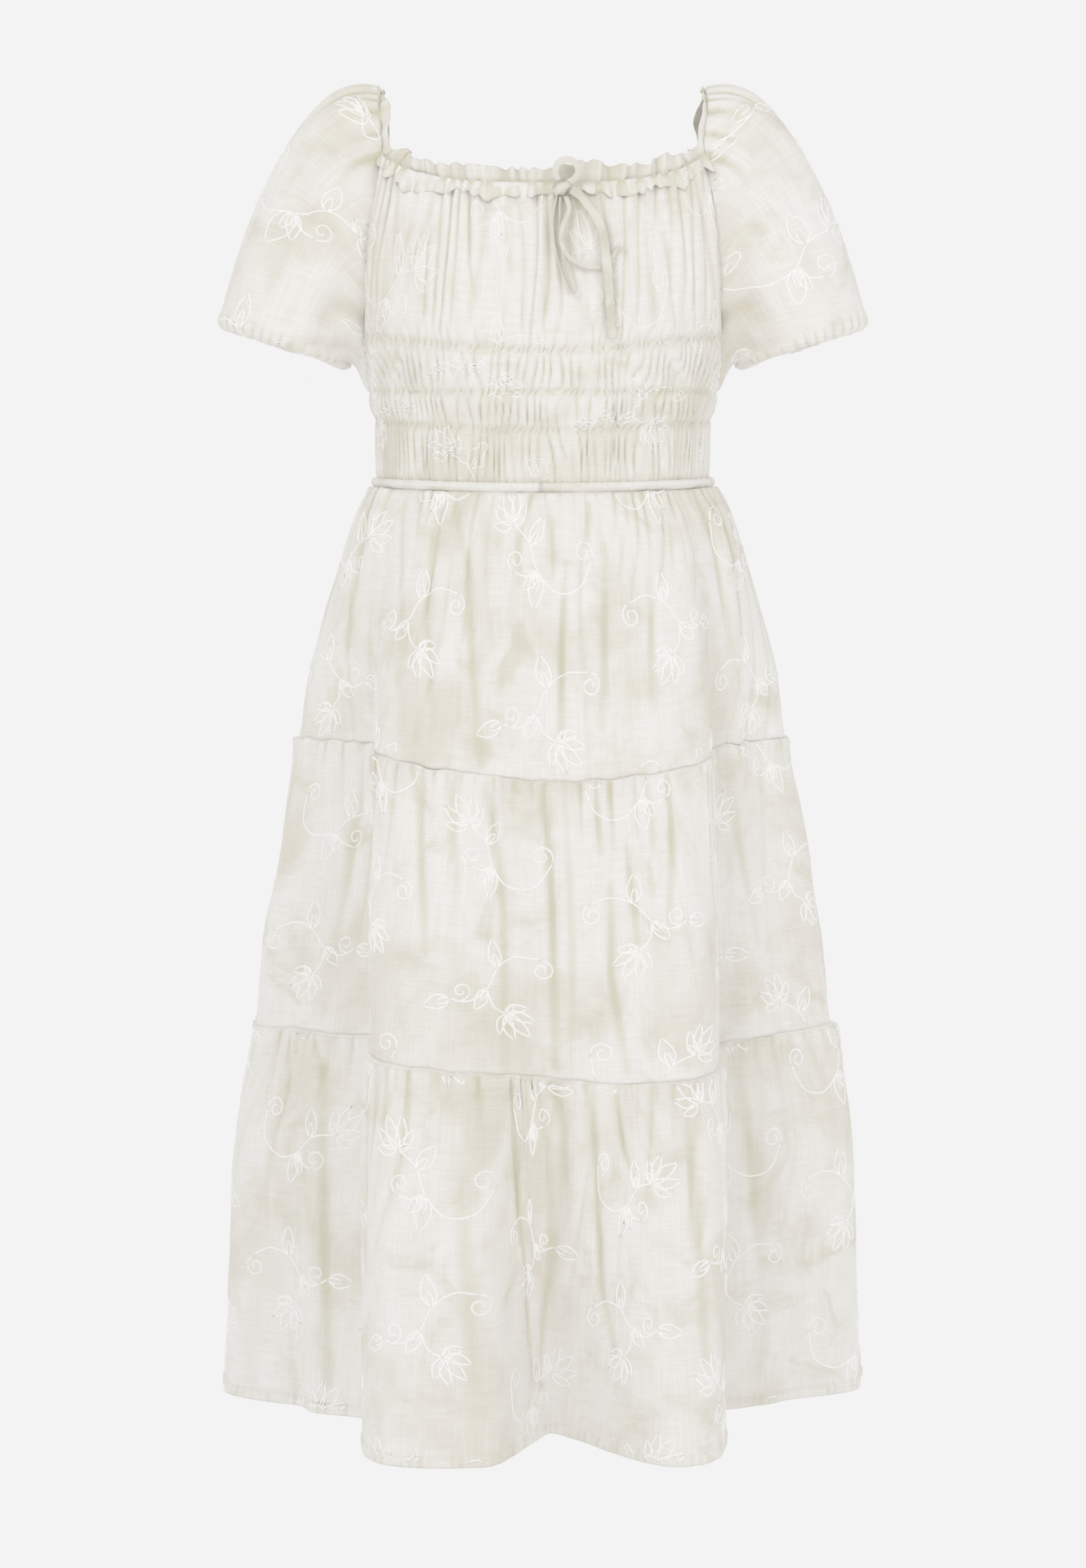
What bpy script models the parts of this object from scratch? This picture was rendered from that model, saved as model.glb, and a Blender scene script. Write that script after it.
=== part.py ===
"""A smocked, tiered midi dress with short puff sleeves, hollow and filled out as if worn.

Metres. X runs to the right of the front view, the front faces -Y and Z is up. The origin is
the middle of the shoulder line, where the wearer holds the dress up, and a drop is a distance
below it. Angles go round the body: 0 is the middle of the front, 90 degrees is at +X.
"""

import math
from collections import namedtuple

import bmesh
import bpy
from mathutils import Vector

# Cloth and seams
WALL = 0.0015
SEAM_GAP = 0.0003

# Drops of the main lines
WAIST_DROP = 0.335
HEM_DROP = 1.108

# Counts
FRONT_PLEATS = 30
BACK_PLEATS = 26
TIER_COLUMNS = 48
TIER_GATHERS = 12
PIPING_COLUMNS = 56
FRILL_WAVES = 26

# The piping in the waist seam, and the edges above and below it
PIPING_RADIUS = 0.004
PIPING_PROUD = 0.0012
PIPING_SIDES = 6
WAIST_SIDE_RISE = 0.003
WAIST_EDGE = PIPING_RADIUS + SEAM_GAP
WAIST_TOP = WAIST_DROP - WAIST_EDGE

# A seam across the skirt: its drop at the sides and back, how far it dips at the middle of the
# front, and how far it leans down to the right side of the front.
SkirtSeam = namedtuple("SkirtSeam", "side dip lean")
TIER_SEAM_1 = SkirtSeam(0.549, 0.022, 0.006)
TIER_SEAM_2 = SkirtSeam(0.794, 0.014, 0.016)

# The skirt's plain section at a drop: half widths to the side, front and back.
SkirtLevel = namedtuple("SkirtLevel", "drop side front back")
SKIRT_LEVELS = (
    SkirtLevel(0.335, 0.1410, 0.105, 0.098),
    SkirtLevel(0.360, 0.1560, 0.116, 0.110),
    SkirtLevel(0.400, 0.1720, 0.131, 0.127),
    SkirtLevel(0.480, 0.1950, 0.152, 0.152),
    SkirtLevel(0.550, 0.2070, 0.170, 0.170),
    SkirtLevel(0.650, 0.2255, 0.198, 0.192),
    SkirtLevel(0.720, 0.2385, 0.214, 0.206),
    SkirtLevel(0.800, 0.2475, 0.230, 0.220),
    SkirtLevel(0.900, 0.2655, 0.250, 0.236),
    SkirtLevel(1.108, 0.2750, 0.287, 0.260),
)

# Large hanging folds. Each has its angle and its depth, a share of the radius, at the two tier
# seams and the hem, and its width in degrees on each flank. A negative depth is a swell.
Fold = namedtuple(
    "Fold", "angle_1 angle_2 angle_hem depth_1 depth_2 depth_hem low_side high_side"
)
FOLDS = (
    Fold(-14, -5, 2, 0.07, 0.10, 0.37, 12, 20),
    Fold(52, 47, 44, 0.12, 0.18, 0.20, 15, 16),
    Fold(64, 59, 57, 0.14, 0.22, 0.30, 18, 27),
    Fold(74, 73, 72, 0.02, 0.04, 0.06, 8, 10),
    Fold(-56, -49, -46, 0.20, 0.27, 0.28, 32, 17),
    Fold(-72, -70, -67, 0.02, 0.06, 0.10, 14, 10),
    Fold(30, 27, 24, -0.02, -0.05, -0.075, 13, 10),
    Fold(-30, -27, -24, -0.02, -0.05, -0.075, 10, 20),
    Fold(112, 110, 108, 0.05, 0.10, 0.13, 12, 16),
    Fold(146, 143, 140, 0.08, 0.15, 0.20, 18, 14),
    Fold(178, 180, 183, 0.09, 0.17, 0.24, 16, 18),
    Fold(-146, -148, -150, 0.08, 0.14, 0.18, 13, 17),
    Fold(-116, -114, -112, 0.05, 0.09, 0.13, 15, 13),
)
FOLD_START_DROP = 0.36

# The tiers. Each has its rows, as shares of the way from its top edge to its bottom edge, and how
# far its gathers stand out under the seam. They fade in and out over the two reaches. Each tier is
# a front and a back panel, sewn together at the side seams.
Tier = namedtuple("Tier", "name rows gather")
TIERS = (
    Tier("skirt_tier_1", (0.0, 0.06, 0.18, 0.42, 0.70, 1.0), 0.0030),
    Tier("skirt_tier_2", (0.0, 0.06, 0.22, 0.60, 1.0), 0.0026),
    Tier("skirt_tier_3", (0.0, 0.05, 0.20, 0.60, 1.0), 0.0026),
)
GATHER_START = 0.012
GATHER_FADE = 0.075

# Rows of the bodice, top to bottom: drop at the middle and at the panel's side edge, half
# widths, the side edge's angle, and how far the pleats stand out. Rows named elastic are
# pinched by shirring thread. The panels part at the underarm and run up to the neck corners.
BodiceRow = namedtuple("BodiceRow", "name drop side_drop side front back edge pleat")
BODICE_ROWS = (
    BodiceRow("neck", 0.0880, 0.0580, 0.1520, 0.113, 0.100, 62, 0.0008),
    BodiceRow("gathers", 0.1080, 0.0880, 0.1580, 0.117, 0.103, 62, 0.0036),
    BodiceRow("upper chest", 0.1400, 0.1200, 0.1640, 0.122, 0.106, 62, 0.0040),
    BodiceRow("chest", 0.1740, 0.1550, 0.1650, 0.125, 0.108, 64, 0.0040),
    BodiceRow("bust", 0.2030, 0.1860, 0.1620, 0.125, 0.108, 67, 0.0040),
    BodiceRow("elastic A", 0.2230, 0.2110, 0.1570, 0.122, 0.107, 73, 0.0010),
    BodiceRow("puff A", 0.2400, 0.2340, 0.1510, 0.119, 0.105, 81, 0.0042),
    BodiceRow("elastic B", 0.2570, 0.2560, 0.1470, 0.116, 0.103, 90, 0.0010),
    BodiceRow("puff B", 0.2720, 0.2680, 0.1440, 0.112, 0.101, 90, 0.0042),
    BodiceRow("elastic C", 0.2880, 0.2800, 0.1420, 0.109, 0.099, 90, 0.0010),
    BodiceRow("puff C", 0.3080, 0.3030, 0.1400, 0.105, 0.098, 90, 0.0042),
    BodiceRow("waist", WAIST_TOP, WAIST_TOP - WAIST_SIDE_RISE, 0.1410, 0.105, 0.098, 90, 0.0010),
)
UNDERARM_ROW = 7
FIRST_ELASTIC_ROW = 5
NECK_RISE_POWER = 3
# Above the first elastic row, the narrow pleats open into broad gathers of four columns each.
BROAD_PLEAT_COLUMNS = 4.0
BROAD_PLEAT_BLEND = 0.03

# Sleeve, for the +X side. It starts on the outside of the bodice's edge, at right angles to it.
ARMHOLE_GAP = 0.0005
SHOULDER_EDGE = (0.1385, 0.0, -0.0075)
SHOULDER_SLANT = (0.86, 0.0, 0.51)
CUFF_INNER = (0.1640, -0.2335)
CUFF_OUTER = (0.2735, -0.1955)
CUFF_HALF_DEPTH = 0.066
ARCH_STEPS = 8
# The puff leaves the armhole and reaches the cuff with these pulls, as shares of its length.
ARMHOLE_PULL = 0.86
CUFF_PULL = 1.22
CUFF_INWARD = 0.10
SHOULDER_ROUNDNESS = 0.55
SLEEVE_ROWS = (0.0, 0.10, 0.24, 0.40, 0.58, 0.76, 0.90, 1.0)
# How the puff turns under to the elastic: inward and down from its widest ring.
CuffTurn = namedtuple("CuffTurn", "inward down")
CUFF_TURNS = (CuffTurn(0.004, 0.004), CuffTurn(0.010, 0.003), CuffTurn(0.015, -0.008))
SLEEVE_GATHER = 0.0016
SLEEVE_GATHER_FADE = 0.12
# The columns that run from the shoulder's edge are spread this far either way round the cuff.
ARCH_CUFF_ANGLE = 65.0
# Soft slack troughs in a sleeve: how far down it, the share of the way round, depth and reaches.
Slack = namedtuple("Slack", "down round depth reach_down reach_round")
SLEEVE_SLACK = (
    Slack(0.45, 0.20, 0.009, 0.22, 0.07),
    Slack(0.70, 0.30, 0.008, 0.20, 0.06),
    Slack(0.55, 0.80, 0.009, 0.25, 0.08),
    Slack(0.75, 0.93, 0.006, 0.20, 0.06),
)

# Neck frill: rows up from the gathering line, how far each leans out, and its wave
FrillRow = namedtuple("FrillRow", "up out wave")
FRILL_ROWS = (
    FrillRow(0.0, 0.0, 0.0),
    FrillRow(0.0075, 0.0015, 0.0022),
    FrillRow(0.0150, 0.0035, 0.0042),
)
# The frill's waves tilt its lower rim, so its middle starts higher than a plain seam's would.
FRILL_SEAM_GAP = 0.0007
SHOULDER_FRILL_HEIGHT = 0.5
SHOULDER_FRILL_SPREAD = 0.35
# From this share of a panel's half width on, the frill leans in towards the neck.
FRILL_LEAN_START = 0.55
FRILL_LEAN = (-0.85, 0.0, 0.52)
SHOULDER_FRILL_OUT = (0.52, 0.0, 0.85)
# The waves are uneven: so many slow changes round the neck, and how much they turn and lift.
FRILL_TURN_CHANGES = 7
FRILL_TURN_AMOUNT = 0.8
FRILL_LIFT_CHANGES = 9
FRILL_LIFT_AMOUNT = 0.12

# Drawstring: centre lines chosen by hand, knot first
TAIL_A_DIAMETER = 0.005
TAIL_B_DIAMETER = 0.004
KNOT_CENTRE = (0.0150, -0.1220, -0.0925)
KNOT_SIZE = (0.0110, 0.0100, 0.0120)
UPPER_LOOP_WIDTH = 0.007
LOWER_LOOP_WIDTH = 0.004
BAND_THICKNESS = 0.0014
TAIL_A_ROUTE = (
    (0.0225, -0.1240, -0.0935),
    (0.0290, -0.1250, -0.0975),
    (0.0365, -0.1255, -0.1065),
    (0.0440, -0.1255, -0.1170),
    (0.0484, -0.1262, -0.1290),
    (0.0510, -0.1280, -0.1450),
    (0.0520, -0.1290, -0.1550),
    (0.0532, -0.1285, -0.1680),
    (0.0550, -0.1262, -0.1920),
    (0.0565, -0.1240, -0.2142),
)
TAIL_B_ROUTE = (
    (0.0185, -0.1225, -0.0990),
    (0.0213, -0.1245, -0.1075),
    (0.0195, -0.1278, -0.1150),
    (0.0158, -0.1312, -0.1240),
    (0.0148, -0.1330, -0.1360),
    (0.0190, -0.1337, -0.1460),
    (0.0260, -0.1325, -0.1520),
    (0.0350, -0.1290, -0.1555),
    (0.0450, -0.1258, -0.1562),
    (0.0520, -0.1240, -0.1540),
    (0.0560, -0.1232, -0.1490),
    (0.0596, -0.1215, -0.1420),
    (0.0670, -0.1192, -0.1405),
)
UPPER_LOOP_ROUTE = (
    (0.0125, -0.1255, -0.0862),
    (0.0098, -0.1265, -0.0795),
    (0.0125, -0.1265, -0.0725),
    (0.0185, -0.1265, -0.0695),
    (0.0250, -0.1265, -0.0715),
    (0.0290, -0.1260, -0.0780),
    (0.0265, -0.1250, -0.0845),
    (0.0207, -0.1240, -0.0880),
)
LOWER_LOOP_ROUTE = (
    (0.0115, -0.1215, -0.0985),
    (0.0088, -0.1240, -0.1120),
    (0.0090, -0.1272, -0.1310),
    (0.0125, -0.1292, -0.1500),
    (0.0185, -0.1300, -0.1680),
    (0.0225, -0.1302, -0.1755),
    (0.0255, -0.1302, -0.1772),
    (0.0270, -0.1302, -0.1740),
    (0.0245, -0.1300, -0.1650),
    (0.0185, -0.1292, -0.1480),
    (0.0145, -0.1272, -0.1300),
    (0.0137, -0.1240, -0.1120),
    (0.0142, -0.1215, -0.0992),
)
UPPER_LOOP_FACING = (0.45, 0.89, 0.0)
LOWER_LOOP_FACING = (0.25, 0.97, 0.0)

# Finishes: base colour (linear), roughness
CLOTH = ((0.83, 0.82, 0.77), 0.85)
TAPE = ((0.80, 0.80, 0.73), 0.80)


def smooth_step(value):
    """0 below 0, 1 above 1, and a soft rise between."""
    value = min(max(value, 0.0), 1.0)
    return value * value * (3.0 - 2.0 * value)


def bump(distance, width):
    """1 at the middle of a fold, 0 at a width from it."""
    return 0.5 + 0.5 * math.cos(math.pi * distance / width) if distance < width else 0.0


def curve_through(places, values, where):
    """The value at a place on a smooth curve through values at rising places."""
    last = len(places) - 1
    if where <= places[0]:
        return values[0]
    if where >= places[last]:
        return values[last]
    low = max(i for i in range(last) if places[i] <= where)
    step = places[low + 1] - places[low]

    def slope(i):
        before, after = max(i - 1, 0), min(i + 1, last)
        return (values[after] - values[before]) / (places[after] - places[before])

    t = (where - places[low]) / step
    start = values[low] * (1 + 2 * t) * (1 - t) ** 2 + values[low + 1] * t * t * (3 - 2 * t)
    return start + step * (slope(low) * t * (1 - t) ** 2 - slope(low + 1) * t * t * (1 - t))


def skirt_half_widths(drop):
    drops = [level.drop for level in SKIRT_LEVELS]
    return [
        curve_through(drops, [getattr(level, name) for level in SKIRT_LEVELS], drop)
        for name in ("side", "front", "back")
    ]


def fold_depth(angle, drop):
    """How far the large folds pull the skirt in at an angle in degrees, as a share of its radius."""
    seams = (TIER_SEAM_1.side, TIER_SEAM_2.side, HEM_DROP)
    total = 0.0
    for fold in FOLDS:
        depths = (0.0, fold.depth_1, fold.depth_2, fold.depth_hem)
        depth = curve_through((FOLD_START_DROP,) + seams, depths, drop)
        middle = curve_through(seams, (fold.angle_1, fold.angle_2, fold.angle_hem), drop)
        away = (angle - middle + 180.0) % 360.0 - 180.0
        total += depth * bump(abs(away), fold.high_side if away > 0 else fold.low_side)
    return total


def skirt_point(angle, drop, ripple=0.0):
    side, front, back = skirt_half_widths(drop)
    sine, cosine = math.sin(math.radians(angle)), math.cos(math.radians(angle))
    scale = 1.0 - fold_depth(angle, drop)
    depth = front if cosine > 0 else back
    x, y = side * sine * scale, -depth * cosine * scale
    return Vector((x + ripple * sine, y - ripple * cosine, -drop))


def seam_drop(seam, angle):
    sine, cosine = math.sin(math.radians(angle)), math.cos(math.radians(angle))
    front = max(cosine, 0.0)
    return seam.side + seam.dip * front**4 + seam.lean * sine * front**2


def waist_drop(angle, offset):
    """The waist seam rises a little at the sides. Offset is down from the middle of the piping."""
    return WAIST_DROP - WAIST_SIDE_RISE * math.sin(math.radians(angle)) ** 2 + offset


def even_angles(first, last, count):
    """Angles that part the hem's outline into even lengths, so that steep folds get enough points."""
    steps = 720
    fine = [first + (last - first) * i / steps for i in range(steps + 1)]
    outline = [skirt_point(angle, HEM_DROP) for angle in fine]
    lengths = [0.0]
    for start, end in zip(outline, outline[1:]):
        lengths.append(lengths[-1] + (end - start).length)
    return [
        curve_through(lengths, fine, lengths[-1] * column / count) for column in range(count + 1)
    ]


def bodice_drop(row, share):
    """A row's drop at a share of the way from the middle to the side edge."""
    if row.name == "neck":
        rise = abs(share) ** NECK_RISE_POWER
    else:
        rise = math.sin(math.pi / 2 * share) ** 2
    return row.drop + (row.side_drop - row.drop) * rise


def bodice_section(row, share, facing, out=0.0):
    """A point of a bodice row. Facing is -1 for the front panel and 1 for the back."""
    angle = math.radians(row.edge * share)
    depth = row.front if facing < 0 else row.back
    sine, cosine = math.sin(angle), math.cos(angle)
    normal = Vector((sine / row.side, facing * cosine / depth, 0.0)).normalized()
    middle = Vector((row.side * sine, facing * (depth * cosine + SEAM_GAP / 2), 0.0))
    point = middle + normal * out
    point.z = -bodice_drop(row, share)
    return point, normal


def pleat_height(row, column, columns):
    """Narrow pleats in the smocking, and the same cloth in broad gathers over the bust."""
    if min(column, columns - 1 - column) < 2:
        return 0.0
    narrow = column % 2
    turn = 2 * math.pi * column / BROAD_PLEAT_COLUMNS + 0.9 * math.sin(column * 0.7)
    broad = 0.5 - 0.5 * math.cos(turn)
    above = smooth_step((BODICE_ROWS[FIRST_ELASTIC_ROW].drop - row.drop) / BROAD_PLEAT_BLEND)
    uneven = 0.8 + 0.2 * math.sin(column * 1.7)
    return row.pleat * uneven * (broad * above + narrow * (1.0 - above))


def bodice_grids(facing, pleats):
    columns = 2 * pleats + 1
    inside, outside = [], []
    for row in BODICE_ROWS:
        shares = [2.0 * column / (columns - 1) - 1.0 for column in range(columns)]
        inside.append([bodice_section(row, share, facing, -WALL / 2)[0] for share in shares])
        outside.append(
            [
                bodice_section(row, share, facing, WALL / 2 + pleat_height(row, i, columns))[0]
                for i, share in enumerate(shares)
            ]
        )
    return inside, outside


def grid_normal(grid, i, j, closed_round):
    """The way out of cloth whose rows go down and whose columns go round from left to right."""
    columns = len(grid[i])
    before, after = (j - 1) % columns, (j + 1) % columns
    if not closed_round:
        before, after = max(j - 1, 0), min(j + 1, columns - 1)
    down = grid[min(i + 1, len(grid) - 1)][j] - grid[max(i - 1, 0)][j]
    across = grid[i][after] - grid[i][before]
    return down.cross(across).normalized()


def both_sides(grid, closed_round, level_rims=False):
    """The inside and outside of a wall whose middle is the grid.

    Level rims stay at the height of the grid's first and last rows, and a panel's side edges in
    their seam's plane, so that a seam's gap is even."""
    inside, outside = [], []
    for i, row in enumerate(grid):
        normals = [grid_normal(grid, i, j, closed_round) for j in range(len(row))]
        if not closed_round:
            for edge in (0, -1):
                normals[edge] = Vector((normals[edge].x, 0.0, normals[edge].z)).normalized()
        if level_rims and i in (0, len(grid) - 1):
            normals = [Vector((normal.x, normal.y, 0.0)).normalized() for normal in normals]
        inside.append([point - normal * WALL / 2 for point, normal in zip(row, normals)])
        outside.append([point + normal * WALL / 2 for point, normal in zip(row, normals)])
    return inside, outside


def make_material(name, finish):
    material = bpy.data.materials.get(name)
    if material is None:
        material = bpy.data.materials.new(name)
        material.use_nodes = True
        shader = material.node_tree.nodes["Principled BSDF"]
        shader.inputs["Base Color"].default_value = (*finish[0], 1.0)
        shader.inputs["Roughness"].default_value = finish[1]
        shader.inputs["Metallic"].default_value = 0.0
    return material


def make_object(name, mesh_tools, finish):
    bmesh.ops.recalc_face_normals(mesh_tools, faces=mesh_tools.faces)
    mesh = bpy.data.meshes.new(name)
    mesh_tools.to_mesh(mesh)
    mesh_tools.free()
    mesh.shade_smooth()
    mesh.materials.append(make_material(name + "_finish", finish))
    made = bpy.data.objects.new(name, mesh)
    bpy.context.collection.objects.link(made)
    return made


def make_wall(name, inside, outside, closed_round, finish):
    """One closed body between two grids of the same size, with rims at their free edges."""
    tools = bmesh.new()
    inner = [[tools.verts.new(point) for point in row] for row in inside]
    outer = [[tools.verts.new(point) for point in row] for row in outside]
    rows, columns = len(inner), len(inner[0])
    spans = columns if closed_round else columns - 1
    for grid in (inner, outer):
        for i in range(rows - 1):
            for j in range(spans):
                k = (j + 1) % columns
                tools.faces.new((grid[i][j], grid[i][k], grid[i + 1][k], grid[i + 1][j]))
    for i in (0, rows - 1):
        for j in range(spans):
            k = (j + 1) % columns
            tools.faces.new((inner[i][j], inner[i][k], outer[i][k], outer[i][j]))
    if not closed_round:
        for j in (0, columns - 1):
            for i in range(rows - 1):
                tools.faces.new((inner[i][j], inner[i + 1][j], outer[i + 1][j], outer[i][j]))
    return make_object(name, tools, finish)


def make_bodice():
    panels = (("bodice_front", -1, FRONT_PLEATS), ("bodice_back", 1, BACK_PLEATS))
    for name, facing, pleats in panels:
        inside, outside = bodice_grids(facing, pleats)
        make_wall(name, inside, outside, False, CLOTH)


def tier_edges(tier, angle):
    """The drops of a tier's top and bottom edges at an angle, half a seam gap inside its seams."""
    half_gap = SEAM_GAP / 2
    seam_1, seam_2 = seam_drop(TIER_SEAM_1, angle), seam_drop(TIER_SEAM_2, angle)
    return (
        (waist_drop(angle, WAIST_EDGE), seam_1 - half_gap),
        (seam_1 + half_gap, seam_2 - half_gap),
        (seam_2 + half_gap, HEM_DROP),
    )[TIERS.index(tier)]


def tier_grid(tier, angles):
    """The middle of a tier's wall. Gathers start just under the top seam and die out below."""
    grid = []
    for row in tier.rows:
        points = []
        for column, angle in enumerate(angles):
            high, low = tier_edges(tier, angle)
            drop = high + (low - high) * row
            below = drop - high
            fullness = smooth_step(below / GATHER_START) * math.exp(-below / GATHER_FADE)
            wave = math.cos(2 * math.pi * TIER_GATHERS * column / TIER_COLUMNS)
            uneven = 0.7 + 0.3 * math.sin(column * 0.9 + 40 * low)
            ripple = tier.gather * fullness * (1.0 + wave * uneven)
            points.append(skirt_point(angle, drop, ripple))
        grid.append(points)
    return grid


def make_skirt():
    half_seam = math.degrees(SEAM_GAP / 2 / SKIRT_LEVELS[0].side)
    for panel, first in (("front", -90.0), ("back", 90.0)):
        angles = even_angles(first + half_seam, first + 180.0 - half_seam, TIER_COLUMNS)
        for tier in TIERS:
            inside, outside = both_sides(tier_grid(tier, angles), False, level_rims=True)
            make_wall(tier.name + "_" + panel, inside, outside, False, CLOTH)


def make_piping():
    """A covered cord round the waist, in the gap between the bodice and the first tier."""
    sections = []
    for column in range(PIPING_COLUMNS):
        angle = 360.0 * column / PIPING_COLUMNS
        middle = skirt_point(angle, WAIST_DROP)
        ahead, behind = skirt_point(angle + 1, WAIST_DROP), skirt_point(angle - 1, WAIST_DROP)
        along = (ahead - behind).normalized()
        out = Vector((along.y, -along.x, 0.0))
        middle += out * PIPING_PROUD
        middle.z = -waist_drop(angle, 0.0)
        section = []
        for side in range(PIPING_SIDES):
            turn = 2 * math.pi * (side + 0.5) / PIPING_SIDES
            rise = Vector((0.0, 0.0, PIPING_RADIUS * math.sin(turn)))
            section.append(middle + out * PIPING_RADIUS * math.cos(turn) + rise)
        sections.append(section)
    tools = bmesh.new()
    rings = [[tools.verts.new(point) for point in section] for section in sections]
    for i, ring in enumerate(rings):
        after = rings[(i + 1) % len(rings)]
        for j in range(PIPING_SIDES):
            k = (j + 1) % PIPING_SIDES
            tools.faces.new((ring[j], ring[k], after[k], after[j]))
    make_object("waist_piping", tools, CLOTH)


def armhole_edge(facing):
    """Points and ways out down one armhole edge of a bodice panel, on the +X side."""
    found = []
    for row in BODICE_ROWS[: UNDERARM_ROW + 1]:
        found.append(bodice_section(row, 1.0, facing))
    return found


def shoulder_arch():
    """Points, ways out and heights of the sleeve's neck edge, front corner over to the back."""
    front, back = armhole_edge(-1)[0], armhole_edge(1)[0]
    top, slant = Vector(SHOULDER_EDGE), Vector(SHOULDER_SLANT)
    found = []
    for step in range(ARCH_STEPS + 1):
        share = step / ARCH_STEPS
        height = max(math.sin(math.pi * share), 0.0) ** SHOULDER_ROUNDNESS
        point = front[0].lerp(back[0], share)
        point.x += (top.x - point.x) * height
        point.z += (top.z - point.z) * height
        out = front[1].lerp(back[1], share) * (1.0 - height) + slant * height
        found.append((point, out.normalized(), height))
    return found


def sleeve_ring():
    """The sleeve's first ring: over the shoulder, down the back armhole, up the front one.

    Each point has its way out and how much it is sewn to the bodice, from 0 to 1."""
    arch = shoulder_arch()
    back, front = armhole_edge(1), armhole_edge(-1)
    underarm = ((back[-1][0] + front[-1][0]) / 2, Vector((1.0, 0.0, 0.0)))
    down_back = [arch[-1][:2]] + back[1:-1] + [underarm]
    up_front = [underarm] + front[1:-1][::-1] + [arch[0][:2]]
    ring = [(point, out, 1.0 - height) for point, out, height in arch]
    for side in (down_back, up_front):
        for start, end in zip(side, side[1:]):
            middle = start[0].lerp(end[0], 0.5)
            ring.append((middle, (start[1] + end[1]).normalized(), 1.0))
            ring.append((*end, 1.0))
    return ring[:-1]


def cuff_angles(ring):
    """Each column's angle at the cuff: 0 at the outer tip, 180 degrees at the underarm."""
    arch_share = ARCH_CUFF_ANGLE
    arch_end = ARCH_STEPS
    underarm = arch_end + (len(ring) - arch_end) // 2
    angles = []
    for i in range(len(ring)):
        if i <= arch_end:
            angles.append(arch_share * (2.0 * i / arch_end - 1.0))
        elif i <= underarm:
            part = (i - arch_end) / (underarm - arch_end)
            angles.append(arch_share + (180.0 - arch_share) * part)
        else:
            part = (i - underarm) / (len(ring) - underarm)
            angles.append(180.0 + (180.0 - arch_share) * part)
    return [math.radians(angle) for angle in angles]


def cuff_point(angle, inward=0.0, down=0.0):
    """A point of the ring at the sleeve's lower edge, which faces down and a little outward."""
    inner = Vector((CUFF_INNER[0], 0.0, CUFF_INNER[1]))
    outer = Vector((CUFF_OUTER[0], 0.0, CUFF_OUTER[1]))
    along = (outer - inner).normalized()
    axis = Vector((-along.z, 0.0, along.x)) * -1.0
    reach = (outer - inner).length / 2 - inward
    depth = CUFF_HALF_DEPTH - inward
    sideways = Vector((0.0, depth * math.sin(angle), 0.0))
    point = (inner + outer) / 2 + along * reach * math.cos(angle) + sideways + axis * down
    radial = (along * math.cos(angle) + Vector((0.0, math.sin(angle), 0.0))).normalized()
    return point, radial, axis


def sleeve_grid(side):
    ring = sleeve_ring()
    angles = cuff_angles(ring)
    columns = []
    for (edge, out, sewn), angle in zip(ring, angles):
        start = edge + out * (SEAM_GAP + (ARMHOLE_GAP + WALL / 2 - SEAM_GAP) * sewn)
        end, radial, axis = cuff_point(angle)
        length = (end - start).length
        leave = out * ARMHOLE_PULL * length
        arrive = (axis - radial * CUFF_INWARD) * CUFF_PULL * length
        column = []
        for v in SLEEVE_ROWS:
            point = start * (1 + 2 * v) * (1 - v) ** 2 + end * v * v * (3 - 2 * v)
            point += leave * v * (1 - v) ** 2 - arrive * v * v * (1 - v)
            column.append(point)
        for turn in CUFF_TURNS:
            column.append(cuff_point(angle, turn.inward, turn.down)[0])
        columns.append(column)
    rows = [list(row) for row in zip(*columns)]
    rows = add_sleeve_shape(rows)
    if side < 0:
        rows = [[Vector((-point.x, point.y, point.z)) for point in row[::-1]] for row in rows]
    return rows


def add_sleeve_shape(rows):
    """Short gathers at the shoulder edge and soft slack troughs, moved along the way out."""
    shaped = [list(row) for row in rows]
    count = len(rows[0])
    for i, v in enumerate(SLEEVE_ROWS[:-1]):
        for j in range(count):
            move = 0.0
            if 0 < i and j <= ARCH_STEPS:
                fade = math.exp(-v / SLEEVE_GATHER_FADE)
                move += SLEEVE_GATHER * math.cos(math.pi * j) * fade
            for slack in SLEEVE_SLACK:
                away = (j / count - slack.round + 0.5) % 1.0 - 0.5
                near = bump(abs(v - slack.down), slack.reach_down)
                move -= slack.depth * near * bump(abs(away), slack.reach_round)
            shaped[i][j] = rows[i][j] + grid_normal(rows, i, j, True) * move
    return shaped


def make_sleeves():
    for name, side in (("sleeve_right", 1), ("sleeve_left", -1)):
        inside, outside = both_sides(sleeve_grid(side), True)
        make_wall(name, inside, outside, True, CLOTH)


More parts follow.
